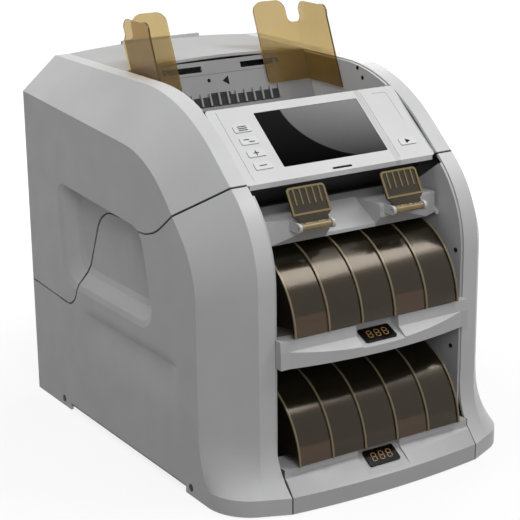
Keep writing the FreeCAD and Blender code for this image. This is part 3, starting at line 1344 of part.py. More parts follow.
def build_pockets():
    """The two stacker pockets: backs, trays, finger wheels, covers and their pivots."""
    for label, rear, low, high, wheel_z in (
            ("upper_pocket_back", "upper_pocket_rear", "tray_floor - 2 * frame_margin", "upper_back_top",
             "upper_wheel_z"),
            ("lower_pocket_back", "lower_pocket_rear", "lower_tray_z - 2 * frame_margin", "lower_back_top",
             "lower_wheel_z")):
        back = new_body(label)
        slots = [rectangle(f"{x} * wheel_pitch - wheel_width", f"{x} * wheel_pitch + wheel_width",
                           f"{wheel_z} - wheel_radius", f"{wheel_z} + wheel_radius - frame_margin")
                 for x in (-1, 0, 1)]
        pad(back, "XZ_Plane", rear, f"{rear} + sheet_metal",
            rectangle(f"-({INSIDE})", INSIDE, low, high), *slots)
        finished(back, label)
    stacker_wheel("upper_stacker_wheel", UPPER_WHEEL)
    stacker_wheel("lower_stacker_wheel", LOWER_WHEEL)
    pocket_cover("upper_pocket_cover", UPPER_COVER, "upper_cover_begin")
    pocket_cover("lower_pocket_cover", LOWER_COVER, "lower_cover_begin")
    pins = []
    collar = (f"{COVER_HALF} + panel_clearance", INSIDE)
    for centre in (UPPER_COVER, LOWER_COVER):
        for side in (-1, 1):
            pin = new_body("cover_pivot")
            for (low, high), radius in (((f"{COVER_HALF} - 2 * cover_arm", HALF_PANEL), "cover_pin_radius"),
                                        (collar, "2 * cover_pin_radius")):
                ends = (low, high) if side > 0 else (f"-({high})", f"-({low})")
                pad(pin, "YZ_Plane", *ends, ("circle", *centre, radius))
            pins.append(pin)
    group("cover_pivots", pins)

    tray = new_body("upper_stacker_tray")
    ledge = "tray_front + tray_ledge_setback"
    lip = "tray_front + tray_lip_depth"
    pad(tray, "YZ_Plane", f"-({INSIDE})", INSIDE, [
        ("tray_front", "tray_bottom"), (f"{lip} - tray_sheet", "tray_bottom"),
        (f"{lip} + tray_sheet", "tray_floor - tray_sheet * 4"),
        (f"{lip} + 2 * tray_sheet", "tray_floor - tray_sheet"),
        ("upper_pocket_rear", "tray_floor - 2 * tray_sheet"),
        ("upper_pocket_rear", "tray_floor - tray_sheet"), (f"{lip} + tray_sheet", "tray_floor"),
        (lip, "tray_top"),
        (ledge, "tray_top"), ("tray_front", "tray_ledge")])
    before_frame = "front_face + frame_setback - panel_clearance"
    pad(tray, "YZ_Plane", f"-({HALF_PANEL})", HALF_PANEL, [
        ("tray_front", "tray_bottom"), (before_frame, "tray_bottom"), (before_frame, "tray_top"),
        (ledge, "tray_top"), ("tray_front", "tray_ledge")])
    bow = "(tray_bow_half^2 + tray_bow^2) / (2 * tray_bow)"
    pad(tray, "XY_Plane", "tray_bottom", "tray_ledge", [
        ("-tray_bow_half", f"{lip} - tray_sheet"), ("tray_bow_half", f"{lip} - tray_sheet"),
        ("tray_bow_half", "tray_front"), ("-tray_bow_half", "tray_front", f"-({bow})")])
    beyond = "tray_front - 2 * tray_bow"
    pocket(tray, "YZ_Plane", f"-({HALF_PANEL})", HALF_PANEL, [
        ("tray_front", "tray_ledge"), (beyond, "tray_ledge - 2 * tray_ledge_fall"), (beyond, "tray_ledge")])
    display_well(tray, beyond, "upper_well_rear", "upper_display", "tray_top")
    finished(tray, "upper_stacker_tray")

    base = new_body("front_base")
    flare = "front_face - flare_depth"
    low_bow = f"(({HALF_PANEL})^2 + foot_bow^2) / (2 * foot_bow)"
    low_plan = [(f"-({HALF_PANEL})", "base_rear"), (HALF_PANEL, "base_rear"), (HALF_PANEL, flare),
                (f"-({HALF_PANEL})", flare, f"-({low_bow})")]
    pad(base, "XY_Plane", "floor_clearance", "foot_band", low_plan)
    high_plan = [(f"-({HALF_PANEL})", "base_rear"), (HALF_PANEL, "base_rear"), (HALF_PANEL, "apron_top_y"),
                 (f"-({HALF_PANEL})", "apron_top_y", f"-({low_bow}) * apron_flatness")]
    bottom = outline_sketch(base, "XY_Plane", "foot_band", [low_plan])
    top = outline_sketch(base, "XY_Plane", "apron_top", [high_plan])
    apron = base.newObject("PartDesign::AdditiveLoft", "front_base_apron")
    apron.Profile = bottom
    apron.Sections = [top]
    apron.Ruled = True
    pad(base, "XY_Plane", "apron_top", "base_top",
        rectangle(f"-({HALF_PANEL})", HALF_PANEL, "apron_top_y + seam_gap", "base_rear"))
    ahead = f"{flare} - 2 * foot_bow"
    drop = f"base_ledge_z + ({ahead} - base_ledge_y) * tan(base_ledge_slope)"
    rise = "base_ledge_z + (apron_top_y - base_ledge_y) * tan(base_ledge_slope)"
    pocket(base, "YZ_Plane", f"-({HALF_PANEL})", HALF_PANEL, [
        (ahead, drop), ("apron_top_y", rise), ("apron_top_y", "base_top"), (ahead, "base_top")])
    pocket(base, "XY_Plane", "floor_clearance", "base_top",
           rectangle(f"-({HALF_PANEL})", f"-({INSIDE})", before_frame, "base_rear"),
           rectangle(INSIDE, HALF_PANEL, before_frame, "base_rear"))
    display_well(base, ahead, "lower_well_rear", "lower_display", "base_top + frame_margin")
    finished(base, "front_base")

    lower = new_body("lower_stacker_tray")
    pad(lower, "YZ_Plane", f"-({INSIDE})", INSIDE, [
        ("base_rear", "lower_tray_z - sheet_metal"), ("lower_pocket_rear", "lower_tray_z - 3 * sheet_metal"),
        ("lower_pocket_rear", "lower_tray_z - 2 * sheet_metal"), ("base_rear", "lower_tray_z")])
    finished(lower, "lower_stacker_tray")

    displays = []
    for name in ("upper_display", "lower_display"):
        display = new_body("count_display")
        pad(display, "XY_Plane", 0, "display_thickness", rounded(
            "-display_width / 2", "display_width / 2", 0, "display_length", "sheet_metal"))
        place(display, f"{name}_tilt", 0, f"{name}_y", f"{name}_z")
        displays.append(display)
    group("count_displays", displays)


def display_well(body, front, rear, name, top):
    """Sloping seat for a count display, open to the front."""
    def level(y):
        return f"{name}_z + (({y}) - {name}_y) * tan({name}_tilt)"
    pocket(body, "YZ_Plane", "-display_well_width / 2", "display_well_width / 2",
           [(front, level(front)), (rear, level(rear)), (rear, f"{top} + 1"), (front, f"{top} + 1")])


def build_reject_pocket():
    """Reject tray with its finger channel, and the two amber stoppers that fold forward."""
    tray = new_body("reject_tray")
    axis = ("stopper_axis_y", "stopper_axis_z")
    pad(tray, "YZ_Plane", f"-({INSIDE})", INSIDE, [
        ("reject_front", "reject_front_z - reject_sheet"), ("reject_bend", "reject_top - reject_sheet"),
        ("reject_rear", "reject_top - reject_sheet"), ("reject_rear", "reject_top"),
        ("reject_bend", "reject_top"),
        ("reject_front", "reject_front_z")])
    face = "reject_top + block_rise"
    end = f"({INSIDE} - reject_sheet)"
    for side in (-1, 1):
        ends = (f"-{end}", "-block_inner") if side < 0 else ("block_inner", end)
        pad(tray, "YZ_Plane", *ends, [
            ("reject_front", "reject_front_z - reject_sheet"), ("reject_bend", "reject_top - reject_sheet"),
            ("reject_bend", "reject_top"), ("block_front + block_nose", face),
            ("block_front", f"{face} - block_nose", "block_nose"), ("block_front", f"{face} - block_face")])
    for side in (-1, 1):
        pocket(tray, "XY_Plane", "reject_front_z - 2 * reject_sheet", f"{face} + 1", [
            (f"{side} * block_sweep_start", "block_front"), (f"{side} * {end}", "block_front + block_sweep"),
            (f"{side} * {end}", "block_front - 1"), (f"{side} * block_sweep_start", "block_front - 1")])
        for edge in (-1, 1):
            near = f"{side} * stopper_x + {edge} * (stopper_width / 2 + panel_clearance)"
            far = f"{near} + {edge} * lug_sheet"
            ends = (near, far) if edge > 0 else (far, near)
            pad(tray, "YZ_Plane", *ends, rectangle(
                "stopper_axis_y", "block_front + block_sweep", "stopper_axis_z - lug_radius",
                "stopper_axis_z + lug_radius"))
            pad(tray, "YZ_Plane", *ends, ("circle", *axis, "lug_radius"))
            pocket(tray, "YZ_Plane", *ends, bore(axis, "stopper_pin_radius"))
    finished(tray, "reject_tray")

    for label, side in (("left_stopper", -1), ("right_stopper", 1)):
        stopper = new_body(label)
        half = "stopper_width / 2"
        reach = f"{half} + stopper_pin_length"
        pad(stopper, "YZ_Plane", f"-{half}", half, ("circle", 0, 0, "stopper_barrel"))
        pad(stopper, "YZ_Plane", f"-({reach})", reach, ("circle", 0, 0, "stopper_pin_radius"))
        pad(stopper, "XY_Plane", "-stopper_sheet / 2", "stopper_sheet / 2", [
            (f"-{half}", 0), (half, 0), (half, "stopper_neck"), *stopper_head(0),
            (f"-{half}", "stopper_neck")])
        raised = "stopper_sheet / 2 + stopper_rib_height"
        pad(stopper, "XY_Plane", 0, raised, stopper_head(0), stopper_head("stopper_frame"))
        pitch = "(stopper_top_width / (stopper_ribs + 1))"
        for number in range(int(value("stopper_ribs"))):
            x = f"{number + 1} * {pitch} - stopper_top_width / 2"
            pad(stopper, "XY_Plane", 0, raised, rectangle(
                f"{x} - stopper_rib_width / 2", f"{x} + stopper_rib_width / 2", "stopper_rib_start",
                "stopper_length - stopper_frame / 2"))
        place(stopper, "90 - stopper_lean", f"{side} * stopper_x", *axis)
        finished(stopper, label)


def stopper_head(inset):
    """Outline of a stopper's wide part, drawn in by an inset."""
    wide = f"(stopper_top_width / 2 - {inset})"
    top = f"stopper_length - {inset}"
    corner = f"(panel_corner - {inset} / 2)"
    return [(wide, f"stopper_shoulder + {inset}"), (wide, f"{top} - {corner}"),
            (f"{wide} - {corner}", top, corner),
            (f"-{wide} + {corner}", top), (f"-{wide}", f"{top} - {corner}", corner),
            (f"-{wide}", f"stopper_shoulder + {inset}")]


def build_gates():
    """Diverter gates that send a note to a pocket."""
    for label, centre in (("upper_diverter", UPPER_GATE), ("lower_diverter", LOWER_GATE)):
        gate = new_body(label)
        pad(gate, "YZ_Plane", f"-({HALF_PANEL})", HALF_PANEL, ("circle", 0, 0, "gate_shaft_radius"))
        for x in (-1, 1):
            for share in ("gate_inner", "gate_outer"):
                middle = f"{x} * {share}"
                pad(gate, "YZ_Plane", f"{middle} - gate_width / 2", f"{middle} + gate_width / 2", [
                    (0, "gate_shaft_radius"), ("-gate_length", "gate_lift + gate_tip"),
                    ("-gate_length", "gate_lift"), (0, "-gate_shaft_radius")])
        bind(gate, Placement__Base__y=centre[0], Placement__Base__z=centre[1])
        finished(gate, label)


def tangent_loop(first, first_radius, second, second_radius, x):
    """Closed outline round two pulleys."""
    line = second - first
    heading = math.atan2(line.z, line.y)
    spread = math.acos((first_radius - second_radius) / line.Length)

    def rim(centre, radius, angle):
        return centre + Vector(x - centre.x, radius * math.cos(angle), radius * math.sin(angle))
    starts = [rim(first, first_radius, heading + spread), rim(first, first_radius, heading + math.pi),
              rim(first, first_radius, heading - spread)]
    ends = [rim(second, second_radius, heading - spread), rim(second, second_radius, heading),
            rim(second, second_radius, heading + spread)]
    return Part.Face(Part.Wire([Part.Arc(*starts).toShape(), Part.makeLine(starts[2], ends[0]),
                                Part.Arc(*ends).toShape(), Part.makeLine(ends[2], starts[0])]))


def build_drive():
    """Main motor, its pulley, the belt to the drum, the feed motor, the power supply and the main board."""
    motor = new_body("drive_motor")
    mount = f"-({FRAME_IN})"
    pad(motor, "YZ_Plane", mount, f"{mount} + motor_length", ("circle", "motor_y", "motor_z", "motor_radius"))
    pocket(motor, "YZ_Plane", mount, f"{mount} + motor_length / 3",
           ("circle", "motor_y", "motor_z", "motor_shaft_radius + running_clearance"))
    finished(motor, "drive_motor")
    pulley = new_body("motor_pulley")
    low = f"{PULLEY} - pulley_width / 2"
    high = f"{PULLEY} + pulley_width / 2"
    pad(pulley, "YZ_Plane", low, f"{mount} + motor_length / 4",
        ("circle", "motor_y", "motor_z", "motor_shaft_radius"))
    pad(pulley, "YZ_Plane", low, high, ("circle", "motor_y", "motor_z", "motor_pulley_radius"))
    finished(pulley, "motor_pulley")
    centre = Vector(0, value("motor_y"), value("motor_z"))
    drum = Vector(0, value(DRUM[0]), value(DRUM[1]))
    start = value(f"{low} + panel_clearance")
    width = value("pulley_width - 2 * panel_clearance")
    gap = value("sliding_clearance")
    thick = gap + value("belt_thickness")
    small = value("motor_pulley_radius")
    large = value("drum_pulley_radius")
    outer = tangent_loop(centre, small + thick, drum, large + thick, start)
    inner = tangent_loop(centre, small + gap, drum, large + gap, start)
    belt = outer.cut(inner).extrude(Vector(width, 0, 0))
    finished(feature("drive_belt", belt), "drive_belt")
    feed = new_body("feed_motor")
    pad(feed, "YZ_Plane", mount, f"{mount} + feed_motor_length",
        ("circle", "feed_motor_y", "feed_motor_z", "feed_motor_radius"))
    finished(feed, "feed_motor")
    supply = new_body("power_supply")
    floor = "base_level + sheet_metal"
    pad(supply, "XY_Plane", floor, f"{floor} + supply_height",
        rectangle(f"{FRAME_IN} - supply_gap - supply_width", f"{FRAME_IN} - supply_gap", "supply_front",
                  "supply_rear"))
    finished(supply, "power_supply")
    board = new_body("main_board")
    near = f"{HALF_PANEL} + board_standoff"
    pad(board, "YZ_Plane", near, f"{near} + board_thickness",
        rectangle("board_front", "board_rear", "board_low", "board_high"))
    for y in ("board_front + frame_margin", "board_rear - frame_margin"):
        for z in ("board_low + frame_margin", "board_high - frame_margin"):
            pad(board, "YZ_Plane", HALF_PANEL, near, ("circle", y, z, "frame_margin / 2"))
    finished(board, "main_board")


build_housings()
build_base()
build_frames()
build_rear()
build_panel()
build_hopper()
build_rollers()
build_guides()
build_pockets()
build_reject_pocket()
build_gates()
build_drive()
doc.recompute()

for item in doc.Objects:
    if "Invalid" in item.State or "Error" in item.State:
        raise RuntimeError(f"{item.Label} did not build: {item.State}")
for item in nodes:
    if item.Shape.isNull() or not item.Shape.isValid():
        raise RuntimeError(f"{item.Label} has no sound shape")

os.makedirs("parts", exist_ok=True)
for item in nodes:
    item.Shape.exportStep(f"parts/{item.Label}.step")
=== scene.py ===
import bmesh
import bpy
import json
import math
from mathutils import Matrix, Vector


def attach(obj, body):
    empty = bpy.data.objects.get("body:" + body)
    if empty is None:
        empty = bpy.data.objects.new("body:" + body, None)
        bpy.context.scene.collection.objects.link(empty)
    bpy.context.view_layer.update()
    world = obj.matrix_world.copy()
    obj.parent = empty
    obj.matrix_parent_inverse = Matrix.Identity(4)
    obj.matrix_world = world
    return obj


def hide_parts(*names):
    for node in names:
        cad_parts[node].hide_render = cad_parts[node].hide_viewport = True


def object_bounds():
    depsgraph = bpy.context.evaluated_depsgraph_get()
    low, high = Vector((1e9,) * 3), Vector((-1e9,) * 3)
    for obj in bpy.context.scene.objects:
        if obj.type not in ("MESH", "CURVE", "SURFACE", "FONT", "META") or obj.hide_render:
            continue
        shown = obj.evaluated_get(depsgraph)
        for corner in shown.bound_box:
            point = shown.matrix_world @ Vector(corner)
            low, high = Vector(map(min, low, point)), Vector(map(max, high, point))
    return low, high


# Banknote counter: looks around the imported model. Metres; +X right, +Y back, +Z up.

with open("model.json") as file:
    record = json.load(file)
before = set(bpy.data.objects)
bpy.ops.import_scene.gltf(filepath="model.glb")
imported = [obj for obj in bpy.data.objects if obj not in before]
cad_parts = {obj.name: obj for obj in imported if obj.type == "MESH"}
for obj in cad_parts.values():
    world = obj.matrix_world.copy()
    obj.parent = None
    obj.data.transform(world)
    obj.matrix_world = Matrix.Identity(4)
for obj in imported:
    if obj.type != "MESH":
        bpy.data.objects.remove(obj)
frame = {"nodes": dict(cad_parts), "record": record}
cad_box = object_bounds()
nodes = frame["nodes"]
scene = bpy.context.scene

# Measures of the model that its looks depend on

SIDES = (("left", -1), ("right", 1))
PANEL_TILT = math.radians(38.3)
PANEL_FOOT = Vector((0.0, -0.1390, 0.3092))
PLATE_LEAN = math.radians(22.4)
PLATE_FOOT = Vector((0.0, 0.0795, 0.354))
COVER_AXES = {"upper_pocket_cover": (-0.1195, 0.168), "lower_pocket_cover": (-0.1265, 0.038)}
COVER_RADIUS = 0.078
RIB_PITCH = 0.0391
RIB_RISE = 0.0006
SEAM_PATH = ((-0.236, 0.3808), (-0.059, 0.250), (0.0695, 0.248), (0.121, 0.128), (0.2115, 0.133))
SEAM_RADII = (0.080, 0.040, 0.025)
STOPPER_AXIS = (-0.170, 0.269)
STOPPER_LEAN = math.radians(30.0)
STOPPER_FACE = 0.0012
STOPPER_BARREL = 0.0042
BASE_EDGE = max(corner[0] for corner in nodes["front_base"].bound_box)


def tilted(foot, angle):
    """Frame of a sloping face: X across, Y up the slope, Z out of it."""
    return Matrix.Translation(foot) @ Matrix.Rotation(angle, 4, "X")


def lifted(place, rise):
    """The same frame, further out of its face."""
    return place @ Matrix.Translation((0.0, 0.0, rise))


PANEL = tilted(PANEL_FOOT, PANEL_TILT)
PLATE = tilted(PLATE_FOOT, math.radians(90) - PLATE_LEAN)


# Plain helpers

def add_object(name, data):
    item = bpy.data.objects.new(name, data)
    scene.collection.objects.link(item)
    return item


def dress(item, look):
    """Give an object one material."""
    item.data.materials.clear()
    item.data.materials.append(look)


def scaled(colour, factor):
    return tuple(channel * factor for channel in colour)


def steps_between(first, last, count):
    return [first + (last - first) * step / count for step in range(count + 1)]


def eased(place, start, end):
    """0 at the start, 1 at the end, with no slope at either."""
    share = min(1.0, max(0.0, (place - start) / (end - start)))
    return share * share * (3.0 - 2.0 * share)


def rounded_path(points, radii, steps=8):
    """Points of a path whose inner corners are arcs."""
    corners = [Vector(point) for point in points]
    path = [corners[0]]
    for before, corner, after, radius in zip(corners, corners[1:], corners[2:], radii):
        ahead = (corner - before).normalized()
        onward = (after - corner).normalized()
        turn = ahead.angle(onward)
        inward = (onward - ahead * ahead.dot(onward)).normalized()
        centre = corner - ahead * radius * math.tan(turn / 2) + inward * radius
        for step in range(steps + 1):
            angle = turn * step / steps
            path.append(centre + (ahead * math.sin(angle) - inward * math.cos(angle)) * radius)
    return path + [corners[-1]]


# Materials

NOISE_LOW = 0.3
NOISE_HIGH = 0.7


class Shader:
    """Node tree of one material, with short helpers for the nodes used here."""

    def __init__(self, name):
        self.material = bpy.data.materials.new(name)
        self.material.use_nodes = True
        self.tree = self.material.node_tree
        self.surface = self.tree.nodes["Principled BSDF"]
        self.place = self.add("ShaderNodeTexCoord").outputs["Object"]

    def add(self, kind, **settings):
        node = self.tree.nodes.new(kind)
        for key, setting in settings.items():
            setattr(node, key, setting)
        return node

    def link(self, source, target):
        self.tree.links.new(source, target)

    def set(self, **sockets):
        """Set inputs of the surface that are the same all over."""
        for key, setting in sockets.items():
            self.surface.inputs[key.replace("_", " ")].default_value = setting
        return self

    def feed(self, name, source):
        """Let one input of the surface vary with a source."""
        self.link(source, self.surface.inputs[name])
        return self

    def colour(self, base):
        return self.feed("Base Color", base)

    def split(self):
        """The place on the object, as its levels across, in depth and in height."""
        node = self.add("ShaderNodeSeparateXYZ")
        self.link(self.place, node.inputs["Vector"])
        return node.outputs["X"], node.outputs["Y"], node.outputs["Z"]

    def noise(self, scale, detail=2.0, stretch=(1.0, 1.0, 1.0)):
        mapping = self.add("ShaderNodeMapping")
        mapping.inputs["Scale"].default_value = stretch
        self.link(self.place, mapping.inputs["Vector"])
        node = self.add("ShaderNodeTexNoise")
        node.inputs["Scale"].default_value = scale
        node.inputs["Detail"].default_value = detail
        self.link(mapping.outputs["Vector"], node.inputs["Vector"])
        return node.outputs["Fac"]

    def spread(self, source, low, high, start=NOISE_LOW, end=NOISE_HIGH):
        """Low where the source is at the start, high where it is at the end."""
        node = self.add("ShaderNodeMapRange")
        for key, setting in zip(("From Min", "From Max", "To Min", "To Max"), (start, end, low, high)):
            node.inputs[key].default_value = setting
        self.link(source, node.inputs["Value"])
        return node.outputs["Result"]

    def math(self, operation, first, second=None):
        node = self.add("ShaderNodeMath", operation=operation)
        for socket, item in zip(node.inputs, (first, second)):
            if item is None:
                continue
            if isinstance(item, (int, float)):
                socket.default_value = item
            else:
                self.link(item, socket)
        return node.outputs["Value"]

    def ellipse(self, first, second, centre, sizes=(1.0, 1.0)):
        """Squared distance of two levels from a centre, each in units of a size."""
        squares = []
        for source, middle, size in zip((first, second), centre, sizes):
            off = self.math("DIVIDE", self.math("SUBTRACT", source, middle), size)
            squares.append(self.math("POWER", off, 2.0))
        return self.math("ADD", *squares)

    def between(self, source, low, high, soft):
        """1 between two levels, falling to 0 over a soft edge."""
        rise = self.spread(source, 0.0, 1.0, low, low + soft)
        fall = self.spread(source, 1.0, 0.0, high - soft, high)
        return self.math("MULTIPLY", rise, fall)

    def curve(self, source, points):
        """A level read off a line through points, from 0 to 1 along it."""
        node = self.add("ShaderNodeFloatCurve")
        line = node.mapping.curves[0]
        for place, level in points[1:-1]:
            line.points.new(place, level)
        line.points[0].location = points[0]
        line.points[-1].location = points[-1]
        for point in line.points:
            point.handle_type = "VECTOR"
        node.mapping.update()
        self.link(source, node.inputs["Value"])
        return node.outputs["Value"]

    def mix(self, share, first, second):
        node = self.add("ShaderNodeMix", data_type="RGBA")
        self.link(share, node.inputs["Factor"])
        for socket, colour in ((node.inputs[6], first), (node.inputs[7], second)):
            if isinstance(colour, tuple):
                socket.default_value = (*colour, 1.0)
            else:
                self.link(colour, socket)
        return node.outputs[2]

    def mottled(self, noise, colour, low, high):
        """A colour that varies between two tones of itself, by a noise."""
        return self.mix(self.spread(noise, 0.0, 1.0), scaled(colour, low), scaled(colour, high))

    def bump(self, height, strength, distance):
        node = self.add("ShaderNodeBump")
        node.inputs["Strength"].default_value = strength
        node.inputs["Distance"].default_value = distance
        self.link(height, node.inputs["Height"])
        return self.feed("Normal", node.outputs["Normal"])


HOUSING = (0.55, 0.55, 0.553)
PANEL_GREY = (0.58, 0.58, 0.583)
AMBER = (0.54, 0.41, 0.19)
SMOKE = (0.06, 0.048, 0.027)
PAD = (0.105, 0.062, 0.04)
RIB = (0.21, 0.172, 0.105)
FLAP = (0.075, 0.053, 0.025)
GOLD = (0.40, 0.30, 0.13)
BOARD_GREEN = (0.012, 0.09, 0.035)
TRACK_GREEN = (0.03, 0.16, 0.06)

# The seam's shade: its colour, its half width on the level, and how much wider it is on a slope
SHADE = (0.02, 0.02, 0.02)
SEAM_SHADE = 0.0009
SEAM_STEEP = 1.7


def seam_line(shader):
    """1 along the joint between the upper and lower housings, where its edges lie in their own shade."""
    _, depth, height = shader.split()
    path = rounded_path(SEAM_PATH, SEAM_RADII)
    first, last = path[0].x, path[-1].x
    along = shader.spread(depth, 0.0, 1.0, first, last)
    levels, widths = [], []
    for here, there in zip(path, path[1:]):
        place = (here.x - first) / (last - first)
        slope = (there.y - here.y) / (there.x - here.x)
        levels.append((place, here.y))
        widths.append((place, SEAM_SHADE * math.hypot(1.0, SEAM_STEEP * slope)))
    levels.append((1.0, path[-1].y))
    off = shader.math("ABSOLUTE", shader.math("SUBTRACT", height, shader.curve(along, levels)))
    return shader.math("LESS_THAN", off, shader.curve(along, widths))


# Bands across a moulding: where each starts and ends, and its tone
BAND_EDGE = 0.0006
# The panel's band is painted shade of a shallow groove beside the screen; the base's bands are its dark
# joints
PANEL_GROOVE_SHADE = [(0.0634, 0.0700, 0.84)]
JOINT_WIDTH = 0.0013
JOINT_BEYOND = 0.001
JOINT_TONE = 0.05
BASE_JOINTS = [(-BASE_EDGE - JOINT_BEYOND, JOINT_WIDTH - BASE_EDGE, JOINT_TONE),
               (BASE_EDGE - JOINT_WIDTH, BASE_EDGE + JOINT_BEYOND, JOINT_TONE)]


def moulded(name, colour, roughness, grain=0.12, mottle=0.03, coat=0.0, gloss=0.45, joints_and_shade_bands=(), shell=False):
    """Moulded plastic: spark-eroded grain, slight mottling and sheen.

    Bands (low, high, tone) tint stripes across it: dark joints on the base, painted shade of a shallow
    groove on the panel; a shell has painted shade along the housing's seam.
    """
    shader = Shader(name).set(Coat_Weight=coat, Coat_Roughness=0.25, Specular_IOR_Level=gloss)
    base = shader.mottled(shader.noise(scale=14.0, detail=3.0), colour, 1.0 - mottle, 1.0 + mottle)
    for low, high, tone in joints_and_shade_bands:
        band = shader.between(shader.split()[0], low, high, BAND_EDGE)
        base = shader.mix(band, base, scaled(colour, tone))
    if shell:
        base = shader.mix(seam_line(shader), base, SHADE)
    rough = shader.spread(shader.noise(scale=40.0, detail=4.0), roughness - 0.05, roughness + 0.06)
    shader.colour(base).feed("Roughness", rough)
    return shader.bump(shader.noise(scale=2600.0), strength=grain, distance=0.00012).material


def flow_marks(shader, scale=60.0, strength=0.03):
    """Faint waves from the flow of clear plastic in its mould."""
    return shader.bump(shader.noise(scale), strength, distance=0.0004)


def amber(name, tint):
    """Clear tinted plastic."""
    shader = Shader(name).set(Transmission_Weight=0.94, IOR=1.3, Roughness=0.06, Specular_IOR_Level=0.3)
    shader.colour(shader.mottled(shader.noise(scale=9.0, detail=3.0), tint, 0.92, 1.06))
    return flow_marks(shader).material


# Rest pads behind a cover: soft edge, fading height above its axis, and how far they stop light
PAD_EDGE = 0.0008
PAD_TOP = (0.022, 0.024)
PAD_SOLID = 0.6


def cover_amber(name, axis):
    """Dark tinted cover: ribs painted light as a painted highlight where they catch light, and rest pads
    that show through its foot.
    """
    shader = Shader(name).set(IOR=1.49, Roughness=0.18, Specular_IOR_Level=0.38,
                              Specular_Tint=(1.0, 0.86, 0.69, 1.0))
    across, depth, height = shader.split()
    left_pad = shader.between(across, -2.5 * RIB_PITCH, -1.5 * RIB_PITCH, PAD_EDGE)
    right_pad = shader.between(across, 0.5 * RIB_PITCH, 1.5 * RIB_PITCH, PAD_EDGE)
    low = shader.spread(height, 1.0, 0.0, axis[1] + PAD_TOP[0], axis[1] + PAD_TOP[1])
    pads = shader.math("MULTIPLY", shader.math("ADD", left_pad, right_pad), low)
    reach = shader.math("SQRT", shader.ellipse(depth, height, axis))
    ribs = shader.math("GREATER_THAN", reach, COVER_RADIUS + RIB_RISE)
    base = shader.mottled(shader.noise(scale=9.0, detail=3.0), SMOKE, 0.92, 1.06)
    # Ribs are painted light: a painted highlight
    shader.colour(shader.mix(ribs, shader.mix(pads, base, PAD), RIB))
    solid = shader.math("MAXIMUM", ribs, shader.math("MULTIPLY", pads, PAD_SOLID))
    shader.feed("Transmission Weight", shader.spread(solid, 0.85, 0.1, 0.0, 1.0))
    return flow_marks(shader).material


def stopper_amber(name):
    """Brown amber flap whose raised rim, ribs and barrel are bright; the barrel's speckles are painted
    glints.
    """
    shader = Shader(name).set(IOR=1.49, Roughness=0.12, Specular_IOR_Level=0.2)
    _, depth, height = shader.split()
    back = shader.math("SUBTRACT", depth, STOPPER_AXIS[0])
    up = shader.math("SUBTRACT", height, STOPPER_AXIS[1])
    out = shader.math("ADD", shader.math("MULTIPLY", back, -math.cos(STOPPER_LEAN)),
                      shader.math("MULTIPLY", up, math.sin(STOPPER_LEAN)))
    raised = shader.math("GREATER_THAN", out, STOPPER_FACE)
    barrel = shader.math("LESS_THAN", shader.ellipse(depth, height, STOPPER_AXIS), STOPPER_BARREL ** 2)
    plate = shader.mottled(shader.noise(scale=70.0, detail=3.0), FLAP, 0.8, 1.15)
    # Painted glints: bright and dark speckles on the barrel stand in for highlights
    glint_spots = shader.spread(shader.noise(scale=420.0, detail=1.0), 0.0, 1.0, start=0.42, end=0.58)
    glints = shader.mix(glint_spots, scaled(GOLD, 0.2), scaled(GOLD, 1.7))
    shader.colour(shader.mix(raised, shader.mix(barrel, plate, glints), GOLD))
    bright = shader.math("MAXIMUM", raised, barrel)
    shader.feed("Transmission Weight", shader.spread(bright, 0.7, 0.45, 0.0, 1.0))
    return flow_marks(shader, scale=90.0, strength=0.05).material


# The screen's painted reflection: its curve, the spans over which it fades, and its tones
SCREEN_CENTRE = (0.060, 0.085)
SCREEN_SIZES = (0.091, 0.075)
SCREEN_EDGE = (0.985, 1.015)
SCREEN_CLIMB = (0.015, 0.085)
SCREEN_ACROSS = (-0.03, 0.055)
SCREEN_BLACK = (0.0025, 0.0025, 0.0027)
SCREEN_SHEEN = (0.014, 0.014, 0.0145)
SCREEN_REFLECTION = (0.26, 0.26, 0.263)


def screen_glass(name):
    """Dark display behind glass with a painted reflection: a pale field inside one curve, weaker to the left
    and at its foot, over black with a painted sheen that grows up the slope.
    """
    shader = Shader(name).set(Roughness=0.12, Specular_IOR_Level=0.0)
    across, depth, _ = shader.split()
    climb = shader.math("DIVIDE", shader.math("SUBTRACT", depth, PANEL_FOOT.y), math.cos(PANEL_TILT))
    field = shader.spread(shader.ellipse(across, climb, SCREEN_CENTRE, SCREEN_SIZES), 1.0, 0.0, *SCREEN_EDGE)
    fade = shader.spread(climb, 0.16, 1.0, *SCREEN_CLIMB)
    side = shader.spread(across, 0.72, 1.0, *SCREEN_ACROSS)
    share = shader.math("MULTIPLY", shader.math("MULTIPLY", field, fade), side)
    speck = shader.spread(shader.noise(scale=900.0), 0.95, 1.05)
    # Painted sheen: the black grows lighter up the slope
    dark = shader.mix(shader.spread(climb, 0.0, 1.0, *SCREEN_CLIMB), SCREEN_BLACK, SCREEN_SHEEN)
    return shader.colour(shader.mix(shader.math("MULTIPLY", share, speck), dark, SCREEN_REFLECTION)).material


def metal(name, colour, roughness, stretch):
    """Plain steel with fine drawing marks."""
    shader = Shader(name).set(Metallic=1.0)
    marks = shader.noise(scale=500.0, detail=3.0, stretch=stretch)
    shader.colour(shader.mottled(marks, colour, 0.9, 1.08))
    shader.feed("Roughness", shader.spread(marks, roughness - 0.06, roughness + 0.08))
    return shader.bump(marks, strength=0.08, distance=0.0001).material


def rubber(name, colour):
    """Ground rubber: matt, with fine pits."""
    shader = Shader(name).set(Specular_IOR_Level=0.25)
    pits = shader.noise(scale=1400.0, detail=4.0)
    shader.colour(shader.mottled(pits, colour, 0.8, 1.15))
    shader.feed("Roughness", shader.spread(pits, 0.7, 0.92))
    return shader.bump(pits, strength=0.35, distance=0.0002).material


